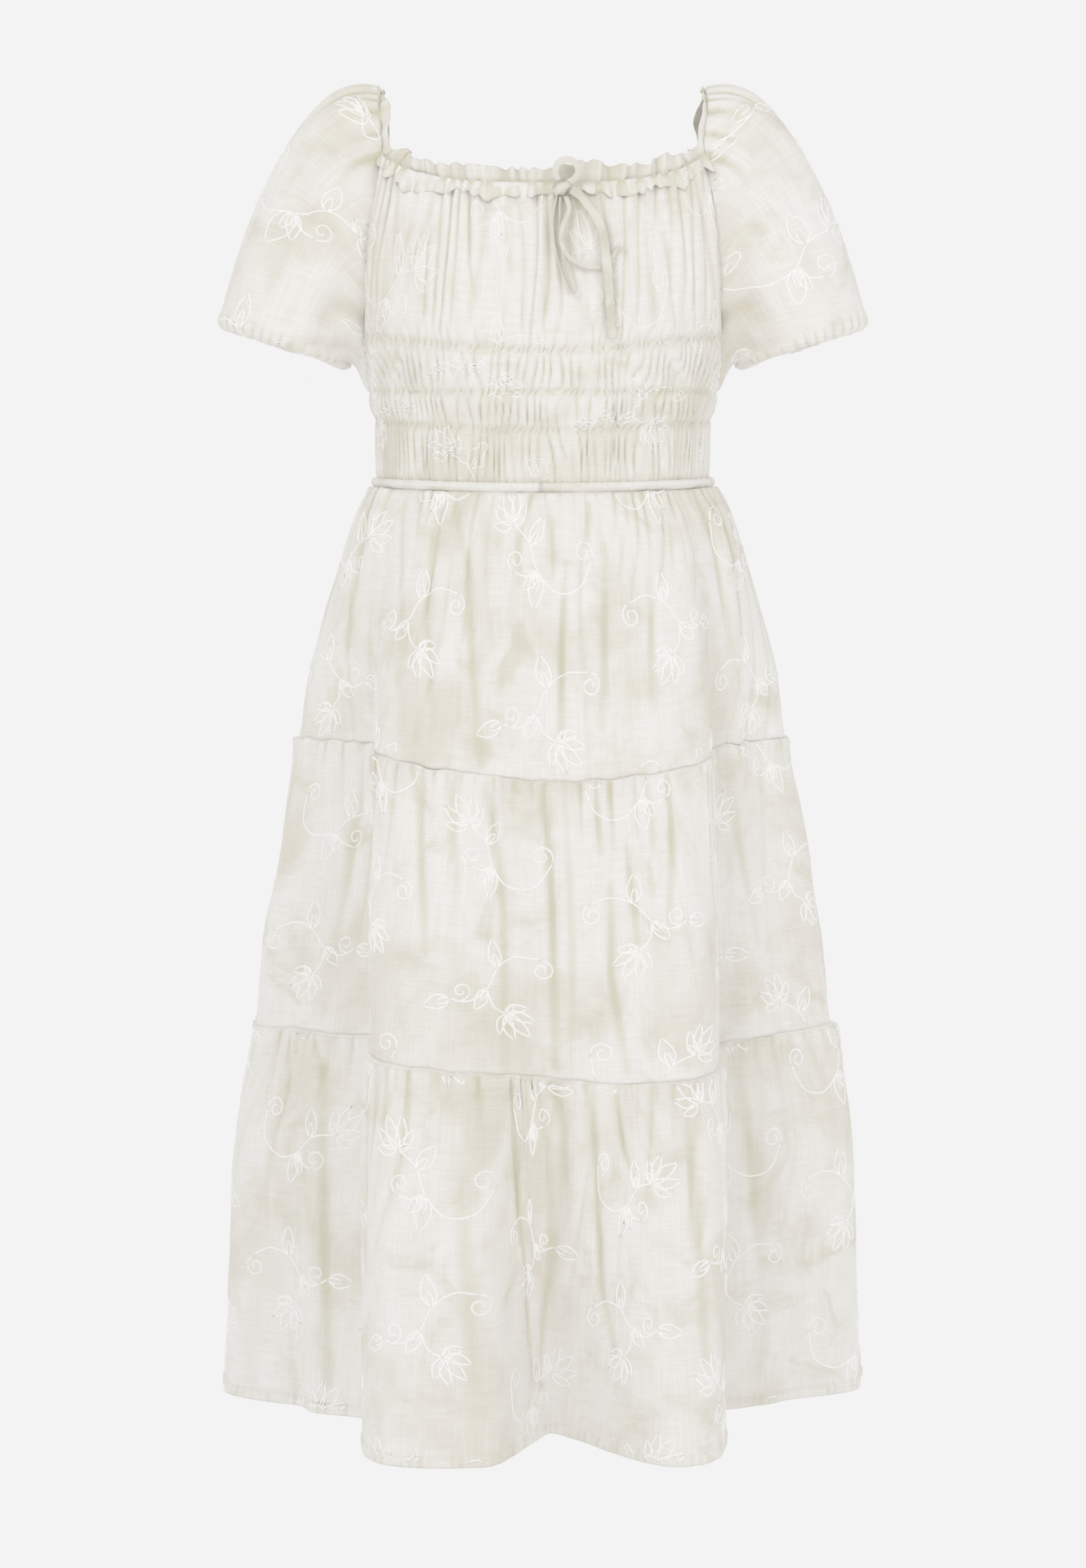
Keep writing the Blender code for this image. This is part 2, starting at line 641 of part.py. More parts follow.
def neck_path():
    """The whole neck edge, front first: each point, the ways up and out of the cloth there, and
    shares of the frill's height and of its lean."""
    up = Vector((0.0, 0.0, 1.0))
    top = BODICE_ROWS[0]
    path = []
    for facing, pleats, side in ((-1, FRONT_PLEATS, 1), (1, BACK_PLEATS, -1)):
        for i in range(1, pleats):
            place = side * (2.0 * i / pleats - 1.0)
            point, out = bodice_section(top, place, facing)
            lean = smooth_step((abs(place) - FRILL_LEAN_START) / (1.0 - FRILL_LEAN_START))
            inward = Vector((math.copysign(FRILL_LEAN[0], -place), 0.0, FRILL_LEAN[2]))
            rise = (up * (1.0 - lean) + inward * lean).normalized()
            path.append((point, rise, out, 1.0, 1.0))
        arch = shoulder_arch()[::side]
        for step, (point, sleeve_out, height) in enumerate(arch):
            share = math.sin(math.pi * step / ARCH_STEPS)
            panel_out = bodice_section(top, 1.0, -1 if sleeve_out.y < 0 else 1)[1]
            point = point - sleeve_out * (WALL / 2 + SEAM_GAP)
            rise = Vector(FRILL_LEAN).normalized()
            out = (panel_out * (1.0 - share) + Vector(SHOULDER_FRILL_OUT) * share).normalized()
            for vector in (point, rise, out):
                vector.x *= side
            height_share = 1.0 + (SHOULDER_FRILL_HEIGHT - 1.0) * share
            path.append((point, rise, out, height_share, SHOULDER_FRILL_SPREAD))
    return path


def make_frill():
    path = neck_path()
    grid = []
    for row in FRILL_ROWS[::-1]:
        points = []
        for i, (point, up, out, height_share, spread) in enumerate(path):
            round_neck = 2 * math.pi * i / len(path)
            change = FRILL_TURN_AMOUNT * math.sin(FRILL_TURN_CHANGES * round_neck)
            turn = FRILL_WAVES * round_neck + change
            lift = 1.0 + FRILL_LIFT_AMOUNT * math.sin(FRILL_LIFT_CHANGES * round_neck + 1.0)
            height = row.up * height_share * lift
            lean = (row.out + row.wave * math.cos(turn)) * spread
            points.append(point + up * (FRILL_SEAM_GAP + height) + out * lean)
        grid.append(points)
    inside, outside = both_sides(grid, True)
    make_wall("neck_frill", inside, outside, True, CLOTH)


def smooth_route(route, spacing):
    """Even points on the smooth curve through a route's own points."""
    points = [Vector(point) for point in route]
    lengths = [0.0]
    for start, end in zip(points, points[1:]):
        lengths.append(lengths[-1] + (end - start).length)
    count = max(2, round(lengths[-1] / spacing))
    across = [[point[axis] for point in points] for axis in range(3)]
    found = []
    for i in range(count + 1):
        where = lengths[-1] * i / count
        found.append(Vector([curve_through(lengths, values, where) for values in across]))
    return found


def make_tail(name, route, diameter):
    curve = bpy.data.curves.new(name, "CURVE")
    curve.dimensions = "3D"
    curve.bevel_depth = diameter / 2
    curve.bevel_resolution = 2
    curve.use_fill_caps = True
    points = smooth_route(route, 2.0 * diameter)
    spline = curve.splines.new("POLY")
    spline.points.add(len(points) - 1)
    for target, point in zip(spline.points, points):
        target.co = (*point, 1.0)
    curve.materials.append(make_material(name + "_finish", TAPE))
    bpy.context.collection.objects.link(bpy.data.objects.new(name, curve))


def make_band(name, route, facing, width, spacing):
    """A flat tape along a route. Facing is the way across its width."""
    points = smooth_route(route, spacing)
    across = Vector(facing).normalized() * (width / 2)
    tools = bmesh.new()
    sections = []
    for i, point in enumerate(points):
        along = points[min(i + 1, len(points) - 1)] - points[max(i - 1, 0)]
        thick = along.cross(across).normalized() * (BAND_THICKNESS / 2)
        corners = (across + thick, across - thick, -across - thick, -across + thick)
        sections.append([tools.verts.new(point + corner) for corner in corners])
    for before, after in zip(sections, sections[1:]):
        for j in range(4):
            k = (j + 1) % 4
            tools.faces.new((before[j], before[k], after[k], after[j]))
    tools.faces.new(sections[0])
    tools.faces.new(sections[-1])
    make_object(name, tools, TAPE)


def make_knot():
    tools = bmesh.new()
    bmesh.ops.create_icosphere(tools, subdivisions=2, radius=0.5)
    bmesh.ops.scale(tools, vec=KNOT_SIZE, verts=tools.verts)
    bmesh.ops.translate(tools, vec=KNOT_CENTRE, verts=tools.verts)
    make_object("drawstring_knot", tools, TAPE)


def make_drawstring():
    make_knot()
    make_band("drawstring_loop_upper", UPPER_LOOP_ROUTE, UPPER_LOOP_FACING, UPPER_LOOP_WIDTH, 0.004)
    make_band("drawstring_loop_lower", LOWER_LOOP_ROUTE, LOWER_LOOP_FACING, LOWER_LOOP_WIDTH, 0.005)
    make_tail("drawstring_tail_a", TAIL_A_ROUTE, TAIL_A_DIAMETER)
    make_tail("drawstring_tail_b", TAIL_B_ROUTE, TAIL_B_DIAMETER)


def main():
    for old in list(bpy.data.objects):
        bpy.data.objects.remove(old, do_unlink=True)
    make_bodice()
    make_skirt()
    make_piping()
    make_sleeves()
    make_frill()
    make_drawstring()


main()
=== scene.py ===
"""The looks of a tiered cotton voile dress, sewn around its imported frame.

Metres, in the frame of the solids: X runs to the right of the front view, the front faces -Y and
Z is up. The origin is the middle of the shoulder line, a drop is a distance below it, and angles
go round the body from the middle of the front. Flat cloth is measured across and down its cut.
"""

import math
import random
from collections import namedtuple

import bpy
import numpy as np
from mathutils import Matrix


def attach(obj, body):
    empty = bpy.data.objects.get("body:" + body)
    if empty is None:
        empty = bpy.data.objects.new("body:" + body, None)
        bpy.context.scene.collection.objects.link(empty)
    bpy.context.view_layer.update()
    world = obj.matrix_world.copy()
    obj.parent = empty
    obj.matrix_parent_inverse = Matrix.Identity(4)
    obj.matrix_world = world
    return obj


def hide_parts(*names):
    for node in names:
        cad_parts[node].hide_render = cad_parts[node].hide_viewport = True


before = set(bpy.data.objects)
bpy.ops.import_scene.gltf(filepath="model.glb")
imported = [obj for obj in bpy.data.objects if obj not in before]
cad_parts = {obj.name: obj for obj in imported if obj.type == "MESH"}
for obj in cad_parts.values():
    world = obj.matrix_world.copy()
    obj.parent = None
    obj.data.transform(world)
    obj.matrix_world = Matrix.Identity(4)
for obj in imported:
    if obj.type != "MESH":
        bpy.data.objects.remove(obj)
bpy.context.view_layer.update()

# Seams and the shape of the garment, as in its solids
WALL = 0.0015
SEAM_GAP = 0.0003
SEAM_LAP = 0.0012
SEAM_WAVER = 0.0006
WAIST_DROP = 0.335
HEM_DROP = 1.108
HEM_DEPTH = 0.009
HEM_PUCKER = 0.0065
HEM_STITCHES_UP = 0.008
PIPING_RADIUS = 0.004
PIPING_PROUD = 0.0012
WAIST_SIDE_RISE = 0.003
WAIST_EDGE = PIPING_RADIUS + SEAM_GAP
WAIST_TOP = WAIST_DROP - WAIST_EDGE

SkirtSeam = namedtuple("SkirtSeam", "side dip lean")
TIER_SEAM_1 = SkirtSeam(0.549, 0.022, 0.006)
TIER_SEAM_2 = SkirtSeam(0.794, 0.014, 0.016)

SkirtLevel = namedtuple("SkirtLevel", "drop side front back")
SKIRT_LEVELS = (
    SkirtLevel(0.335, 0.1410, 0.105, 0.098),
    SkirtLevel(0.360, 0.1560, 0.116, 0.110),
    SkirtLevel(0.400, 0.1720, 0.131, 0.127),
    SkirtLevel(0.480, 0.1950, 0.152, 0.152),
    SkirtLevel(0.550, 0.2070, 0.170, 0.170),
    SkirtLevel(0.650, 0.2255, 0.198, 0.192),
    SkirtLevel(0.720, 0.2385, 0.214, 0.206),
    SkirtLevel(0.800, 0.2475, 0.230, 0.220),
    SkirtLevel(0.900, 0.2655, 0.250, 0.236),
    SkirtLevel(1.108, 0.2750, 0.287, 0.260),
)

# Large hanging folds: angle and depth (a share of the radius) at the seams and the hem, flanks
Fold = namedtuple(
    "Fold", "angle_1 angle_2 angle_hem depth_1 depth_2 depth_hem low_side high_side"
)
FOLDS = (
    Fold(-14, -5, 2, 0.07, 0.10, 0.37, 12, 20),
    Fold(52, 47, 44, 0.12, 0.18, 0.20, 15, 16),
    Fold(64, 59, 57, 0.14, 0.22, 0.30, 18, 27),
    Fold(74, 73, 72, 0.02, 0.04, 0.06, 8, 10),
    Fold(-56, -49, -46, 0.20, 0.27, 0.28, 32, 17),
    Fold(-72, -70, -67, 0.02, 0.06, 0.10, 14, 10),
    Fold(30, 27, 24, -0.02, -0.05, -0.075, 13, 10),
    Fold(-30, -27, -24, -0.02, -0.05, -0.075, 10, 20),
    Fold(112, 110, 108, 0.05, 0.10, 0.13, 12, 16),
    Fold(146, 143, 140, 0.08, 0.15, 0.20, 18, 14),
    Fold(178, 180, 183, 0.09, 0.17, 0.24, 16, 18),
    Fold(-146, -148, -150, 0.08, 0.14, 0.18, 13, 17),
    Fold(-116, -114, -112, 0.05, 0.09, 0.13, 15, 13),
)
FOLD_START_DROP = 0.36

BodiceRow = namedtuple("BodiceRow", "name drop side_drop side front back edge")
BODICE_ROWS = (
    BodiceRow("neck", 0.0880, 0.0580, 0.1520, 0.113, 0.100, 62),
    BodiceRow("gathers", 0.1080, 0.0880, 0.1580, 0.117, 0.103, 62),
    BodiceRow("upper chest", 0.1400, 0.1200, 0.1640, 0.122, 0.106, 62),
    BodiceRow("chest", 0.1740, 0.1550, 0.1650, 0.125, 0.108, 64),
    BodiceRow("bust", 0.2030, 0.1860, 0.1620, 0.125, 0.108, 67),
    BodiceRow("elastic A", 0.2230, 0.2110, 0.1570, 0.122, 0.107, 73),
    BodiceRow("puff A", 0.2400, 0.2340, 0.1510, 0.119, 0.105, 81),
    BodiceRow("elastic B", 0.2570, 0.2560, 0.1470, 0.116, 0.103, 90),
    BodiceRow("puff B", 0.2720, 0.2680, 0.1440, 0.112, 0.101, 90),
    BodiceRow("elastic C", 0.2880, 0.2800, 0.1420, 0.109, 0.099, 90),
    BodiceRow("puff C", 0.3080, 0.3030, 0.1400, 0.105, 0.098, 90),
    BodiceRow("waist", WAIST_TOP, WAIST_TOP - WAIST_SIDE_RISE, 0.1410, 0.105, 0.098, 90),
)
UNDERARM_ROW = 7
FIRST_ELASTIC_ROW = 5
NECK_RISE_POWER = 3

# Sleeve, for the +X side
SHOULDER_EDGE = (0.1385, 0.0, -0.0075)
SHOULDER_SLANT = (0.86, 0.0, 0.51)
CUFF_INNER = (0.1640, -0.2335)
CUFF_OUTER = (0.2735, -0.1955)
CUFF_HALF_DEPTH = 0.066
ARCH_STEPS = 8
ARMHOLE_PULL = 0.86
CUFF_PULL = 1.22
CUFF_INWARD = 0.10
SHOULDER_ROUNDNESS = 0.55
ARCH_CUFF_ANGLE = 65.0
CuffTurn = namedtuple("CuffTurn", "inward down")
CUFF_TURNS = (CuffTurn(0.004, 0.004), CuffTurn(0.010, 0.003), CuffTurn(0.015, -0.008))

# Cloth as it is cut and sampled: flat size, and points across and down for its shell
Cut = namedtuple("Cut", "width length columns rows")
BODICE_CUTS = {"front": Cut(0.46, 0.270, 300, 100), "back": Cut(0.43, 0.270, 250, 84)}
SLEEVE_CUT = Cut(0.36, 0.270, 180, 76)
FRILL_CUT = Cut(1.12, 0.026, 840, 14)
PIPING_CUT = Cut(0.79, 0.026, 240, 12)
TIER_CUTS = (
    Cut(0.64, 0.225, 240, 60),
    Cut(0.80, 0.270, 270, 62),
    Cut(1.10, 0.325, 300, 68),
)
SHELL = 0.0007
OUT_OF_MIDDLE = 0.0006

# Embroidery thread as it lies on the cloth, and its vine's repeat
THREAD_WIDTH = 0.0026
SMOCKED_THREAD_WIDTH = 0.0017
THREAD_HEIGHT = 0.0006
THREAD_SINK = 0.0003
STITCH_WIDTH = 0.0007
STITCH_HEIGHT = 0.0003
STITCH_GAP = 0.0034
STITCH_SHARES = (0.14, 0.5, 0.86)
VINE_ACROSS = 0.132
VINE_DOWN = 0.125
VINE_SCALE = 1.1
TIER_VINE_STARTS = ((0.060, 0.050), (0.095, 0.070), (0.130, 0.090))
BODICE_VINE_START = (0.050, 0.075)
SLEEVE_VINE_STARTS = {"right": (0.105, 0.190), "left": (0.240, 0.150)}

# Camera and studio
CAMERA_PLACE = (0.0, -3.2, -0.288)
CAMERA_TARGET = (0.0, 0.0, -0.590)
CAMERA_LENS = 86.1
CAMERA_SENSOR = 36.0
FLOOR_DROP = 2.4
FLOOR_SIZE = 400.0
LIGHTS_TARGET = (0.0, 0.0, -0.55)


# Small sums

def smooth_step(value):
    value = np.clip(value, 0.0, 1.0)
    return value * value * (3.0 - 2.0 * value)


def even_shares(count):
    return np.linspace(0.0, 1.0, count)


def bump(distance, width):
    """1 at the middle of a fold, 0 at a width from it."""
    return np.where(distance < width, 0.5 + 0.5 * np.cos(np.pi * distance / width), 0.0)


def curve_through(places, values, where):
    """The values at places on a smooth curve through values at rising places."""
    places, values = np.asarray(places, float), np.asarray(values, float)
    where = np.clip(where, places[0], places[-1])
    low = np.clip(np.searchsorted(places, where, side="right") - 1, 0, len(places) - 2)
    before = np.maximum(np.arange(len(places)) - 1, 0)
    after = np.minimum(np.arange(len(places)) + 1, len(places) - 1)
    slopes = (values[after] - values[before]) / (places[after] - places[before])
    step = places[low + 1] - places[low]
    t = (where - places[low]) / step
    start = values[low] * (1 + 2 * t) * (1 - t) ** 2 + values[low + 1] * t * t * (3 - 2 * t)
    return start + step * (slopes[low] * t * (1 - t) ** 2 - slopes[low + 1] * t * t * (1 - t))


def between(before, start, end, after, t):
    """The place at a share t of the way from start to end, on a smooth curve through all four."""
    cubic = 3 * (start - end) + after - before
    square = 2 * before - 5 * start + 4 * end - after
    return start + t / 2 * (end - before + t * (square + t * cubic))


def round_curve(values, where):
    """Values at numbered places on a smooth closed curve through the given ones."""
    values = np.asarray(values, float)
    low = where.astype(int)
    neighbours = (values[(low + k) % len(values)] for k in (-1, 0, 1, 2))
    return between(*neighbours, (where - low)[:, None])


def lengths_along(points):
    """Each point's distance from the first one, along the line."""
    steps = np.linalg.norm(np.diff(points, axis=0), axis=1)
    return np.concatenate([[0.0], np.cumsum(steps)])


def read_between(where, places, values):
    """Places or ways at numbers that lie between those of the given ones."""
    parts = np.asarray(values, float).T
    return np.stack([np.interp(where, places, part) for part in parts], -1)


def even_points(points, step, least):
    """Points about a step apart, and at least so many, on a smooth line through the given ones."""
    points = np.asarray(points, float)
    lengths = lengths_along(points)
    where = np.linspace(0.0, lengths[-1], max(least, round(lengths[-1] / step) + 1))
    return np.stack([curve_through(lengths, axis, where) for axis in points.T], -1)


def table_column(rows, name):
    return [getattr(row, name) for row in rows]


def unit(vectors):
    return vectors / np.linalg.norm(vectors, axis=-1, keepdims=True)


def soft_noise(across, down, seed, waves=7):
    """Smooth uneven values from about -1 to 1, with steps of about one unit each way."""
    source = random.Random(seed)
    total = np.zeros(np.broadcast(across, down).shape)
    for _ in range(waves):
        turn = source.uniform(0, math.pi)
        pace = source.uniform(1.2, 3.4)
        phase = source.uniform(0, 2 * math.pi)
        total += np.sin(pace * (math.cos(turn) * across + math.sin(turn) * down) + phase)
    return total / math.sqrt(waves) * 1.1


def ring_noise(turn, pace, seed, along=0.0):
    """Soft noise on a closed ring, the same after a whole turn, that changes along its tube."""
    return soft_noise(np.cos(turn) * pace, np.sin(turn) * pace + along, seed)


def ridges(phase, roundness=0.75):
    """Gathers, one to each unit of phase: round on top, with narrow valleys between."""
    return np.abs(np.cos(np.pi * phase)) ** roundness


# Cloth as surfaces

Crease = namedtuple("Crease", "line depth reach")
# Painted shade is a share from 0 to 1 at each point, by which the finish darkens the cloth towards
# sage in its valleys
Cloth = namedtuple("Cloth", "points normals across down width length closed_round hollow fall")


def creases(*rows):
    """Creases from rows in millimetres: depth, reach and then the places along a line."""
    return [
        Crease(np.array(line) / 1000, depth / 1000, reach / 1000) for depth, reach, *line in rows
    ]


def surface_normals(points, closed_round):
    down = np.gradient(points, axis=0)
    if closed_round:
        across = np.roll(points, -1, axis=1) - np.roll(points, 1, axis=1)
    else:
        across = np.gradient(points, axis=1)
    return unit(np.cross(down, across))


def crease_depth(across, down, troughs):
    """How far soft troughs press in, each along a line on the flat cloth. Ridges are negative."""
    shape = np.broadcast(across, down).shape
    total = np.zeros(shape)
    for crease in troughs:
        runs = np.diff(crease.line, axis=0)
        lengths = np.hypot(*runs.T)
        before = np.concatenate([[0.0], np.cumsum(lengths)])
        away, along = np.full(shape, np.inf), np.zeros(shape)
        for place, run, length, passed in zip(crease.line, runs, lengths, before):
            x, y = across - place[0], down - place[1]
            nearest = np.clip((x * run[0] + y * run[1]) / length**2, 0.0, 1.0)
            distance = np.hypot(x - nearest * run[0], y - nearest * run[1])
            closer = distance < away
            away = np.where(closer, distance, away)
            along = np.where(closer, passed + nearest * length, along)
        fade = 0.35 + 0.65 * np.sin(np.pi * np.clip(along / before[-1], 0.08, 0.92))
        total += crease.depth * fade * bump(away, crease.reach)
    return total


def lay_cloth(base, heights, shares, cut, closed_round, fall=None):
    """Cloth raised from a base surface by heights, with its flat cut's places across and down.

    Fall is the share of the cut's length that each column has above its level lower edge.
    """
    rows, columns = base.shape[:2]
    points = base + surface_normals(base, closed_round) * (heights + OUT_OF_MIDDLE)[..., None]
    normals = surface_normals(points, closed_round)
    steps = columns if closed_round else columns - 1
    across = np.linspace(0.0, cut.width, steps + 1)
    # Painted shade: points that lie below their smoothed neighbours across, in the valleys of gathers
    # and creases, get a share that the finish darkens towards sage
    smoothed = heights.copy()
    for _ in range(4):
        smoothed = (np.roll(smoothed, 1, axis=1) + smoothed + np.roll(smoothed, -1, axis=1)) / 3
    hollow = np.clip((smoothed - heights) / 0.0012, 0.0, 1.0)
    if fall is None:
        fall = np.ones(steps + 1)
    elif closed_round:
        fall = np.append(fall, fall[0])
    return Cloth(points, normals, across, shares * cut.length, cut.width, cut.length,
                 closed_round, hollow, fall)


def edge_crowded_shares(count, top, bottom):
    """Row places from 0 to 1, closer together near a seam above (top) and a hem below (bottom)."""
    t = even_shares(count)
    density = 1.0 + top * np.exp(-t / 0.09) + bottom * np.exp(-(1 - t) / 0.05)
    gathered = np.concatenate([[0.0], np.cumsum((density[1:] + density[:-1]) / 2)])
    return np.interp(np.linspace(0.0, gathered[-1], count), gathered, t)


# Skirt surfaces

def fold_depth(angle, drop):
    seams = (TIER_SEAM_1.side, TIER_SEAM_2.side, HEM_DROP)
    total = np.zeros(np.broadcast(angle, drop).shape)
    for fold in FOLDS:
        depths = (0.0, fold.depth_1, fold.depth_2, fold.depth_hem)
        depth = curve_through((FOLD_START_DROP,) + seams, depths, drop)
        middle = curve_through(seams, (fold.angle_1, fold.angle_2, fold.angle_hem), drop)
        away = (angle - middle + 180.0) % 360.0 - 180.0
        width = np.where(away > 0, fold.high_side, fold.low_side)
        total += depth * bump(np.abs(away), width)
    return total


def skirt_surface(angle, drop):
    drops = table_column(SKIRT_LEVELS, "drop")
    side, front, back = (
        curve_through(drops, table_column(SKIRT_LEVELS, name), drop)
        for name in ("side", "front", "back")
    )
    turn = np.radians(angle)
    scale = 1.0 - fold_depth(angle, drop)
    depth = np.where(np.cos(turn) > 0, front, back)
    return np.stack([side * np.sin(turn) * scale, -depth * np.cos(turn) * scale, -drop], axis=-1)


def seam_drop(seam, angle):
    turn = np.radians(angle)
    front = np.maximum(np.cos(turn), 0.0)
    return seam.side + seam.dip * front**4 + seam.lean * np.sin(turn) * front**2


def waist_drop(angle, offset):
    return WAIST_DROP - WAIST_SIDE_RISE * np.sin(np.radians(angle)) ** 2 + offset


def even_angles(first, last, count, drop):
    """Angles that part the skirt's outline at a drop into even lengths."""
    fine = np.linspace(first, last, 1441)
    lengths = lengths_along(skirt_surface(fine, np.full(fine.shape, drop)))
    return np.interp(np.linspace(0.0, lengths[-1], count), lengths, fine)


def tier_edges(index, angle):
    half_gap = SEAM_GAP / 2
    waver = [SEAM_WAVER * soft_noise(angle / 2.5, angle * 0.0, 90 + seam) for seam in (1, 2)]
    seam_1 = seam_drop(TIER_SEAM_1, angle) + waver[0]
    seam_2 = seam_drop(TIER_SEAM_2, angle) + waver[1]
    tops = (waist_drop(angle, WAIST_EDGE), seam_1 + half_gap, seam_2 + half_gap)
    bottoms = (seam_1 - half_gap, seam_2 - half_gap, np.full(angle.shape, HEM_DROP))
    return tops[index], bottoms[index]


# Gathers of the tiers: how many of each kind across a panel, and how high and how far the broad
# ones run down
TierGathers = namedtuple("TierGathers", "fine medium broad height reach")
TIER_GATHERS = (
    TierGathers(50, 31, 19, 0.0040, 0.150),
    TierGathers(64, 36, 21, 0.0034, 0.105),
    TierGathers(78, 44, 24, 0.0034, 0.100),
)
# How far the finer ones run down, and how the cloth settles at its seams, sides and hem
FINE_REACH = 0.024
MEDIUM_REACH = 0.045
GATHER_START = 0.003
SIDE_START = 0.006
CALM_BELOW_SEAM = 0.012
CALM_ABOVE_SEAM = 0.010
TOP_TUCK = 0.0004
BOTTOM_TUCK = 0.0003
BOTTOM_TUCK_REACH = 0.0020
LIMP_HEIGHT = 0.0009
LIMP_FINE_HEIGHT = 0.0004
HEM_THICKER = 0.0005
HEM_PUCKER_HEIGHT = 0.0012
HEM_PUCKER_REACH = 0.014
HEM_STITCH_DIP = 0.0009
HEM_STITCH_DIP_REACH = 0.002

# Main creases of the tiers, along lines on a panel's flat cut from its left edge and top
TIER_CREASES = {
    (0, "front"): creases(
        (2, 11, (124, 4), (160, 70), (186, 134)),
        (2.4, 10, (188, 6), (205, 100), (227, 190)),
        (3.4, 11, (203, 0), (247, 67), (269, 220)),
        (1.8, 9, (294, 20), (297, 71)),
        (2.2, 9, (331, 14), (336, 79)),
        (3.4, 9, (346, 60), (341, 122), (339, 190)),
        (1.8, 8, (381, 4), (371, 45)),
        (2.6, 10, (390, 47), (382, 110), (376, 182)),
        (2, 9, (427, 5), (403, 71)),
        (2.6, 10, (435, 75), (423, 166)),
        (2.2, 9, (489, 6), (465, 64)),
        (-2.2, 10, (121, 75), (111, 217)),
        (2, 12, (90, 20), (70, 150)),
        (2.2, 12, (535, 20), (560, 160)),
    ),
    (1, "front"): creases(
        (2.4, 11, (273, 1), (285, 80), (297, 164)),
        (2.2, 10, (305, 0), (313, 77)),
        (3.2, 12, (334, 0), (359, 73), (367, 127), (372, 267)),
        (3.4, 10, (399, 7), (407, 57), (409, 108), (412, 261)),
        (1.8, 10, (425, 26), (425, 261)),
        (2.4, 9, (452, 11), (455, 65)),
        (2.8, 10, (463, 99), (460, 173), (471, 258)),
        (3, 9, (479, 61), (482, 104), (484, 145)),
        (-2, 9, (498, 13), (498, 69)),
        (2.6, 10, (527, 11), (527, 34), (511, 145)),
        (2.4, 12, (205, 5), (200, 170)),
        (2.6, 14, (120, 20), (110, 200)),
        (2.6, 12, (585, 10), (600, 210)),
        (2.4, 14, (680, 10), (700, 180)),
    ),
    (2, "front"): creases(
        (2.8, 13, (465, 2), (475, 55), (502, 150), (528, 270)),
        (2.8, 20, (408, 30), (415, 86), (425, 166), (435, 301)),
        (2.4, 12, (562, 3), (565, 77), (562, 177), (545, 275)),
        (2.2, 10, (572, 2), (575, 133)),
        (2.8, 11, (605, 7), (609, 96), (619, 183), (639, 232)),
        (2.8, 10, (645, 13), (655, 59), (669, 77)),
        (2.4, 12, (150, 30), (160, 112), (167, 216), (174, 297)),
        (2.8, 9, (94, 0), (100, 50)),
        (2.4, 9, (130, 5), (146, 34)),
        (2.4, 16, (300, 0), (318, 180)),
        (2.6, 16, (730, 0), (745, 240)),
        (2.6, 16, (930, 10), (950, 200)),
    ),
    (0, "back"): creases(
        (2.4, 13, (110, 10), (95, 170)),
        (3, 11, (190, 0), (185, 90), (196, 200)),
        (2.2, 10, (265, 20), (258, 150)),
        (2, 9, (308, 0), (304, 70)),
        (3.2, 10, (345, 0), (340, 100), (352, 210)),
        (2.2, 11, (430, 10), (445, 160)),
        (2.6, 13, (525, 0), (545, 180)),
    ),
    (1, "back"): creases(
        (2.8, 14, (130, 10), (115, 210)),
        (2.8, 11, (240, 0), (236, 90), (250, 180)),
        (2.4, 10, (318, 10), (322, 120)),
        (3.4, 12, (370, 20), (372, 130), (360, 250)),
        (2.2, 9, (440, 0), (446, 80)),
        (2.6, 12, (505, 0), (520, 200)),
        (2.8, 14, (655, 10), (675, 230)),
    ),
    (2, "back"): creases(
        (3, 16, (160, 0), (150, 120), (140, 240)),
        (3, 15, (330, 20), (345, 200)),
        (2.6, 11, (440, 0), (446, 90)),
        (3.4, 14, (520, 0), (516, 140), (505, 280)),
        (2.6, 11, (620, 10), (632, 110)),
        (3, 14, (700, 10), (715, 190)),
        (3, 16, (900, 0), (925, 250)),
    ),
}


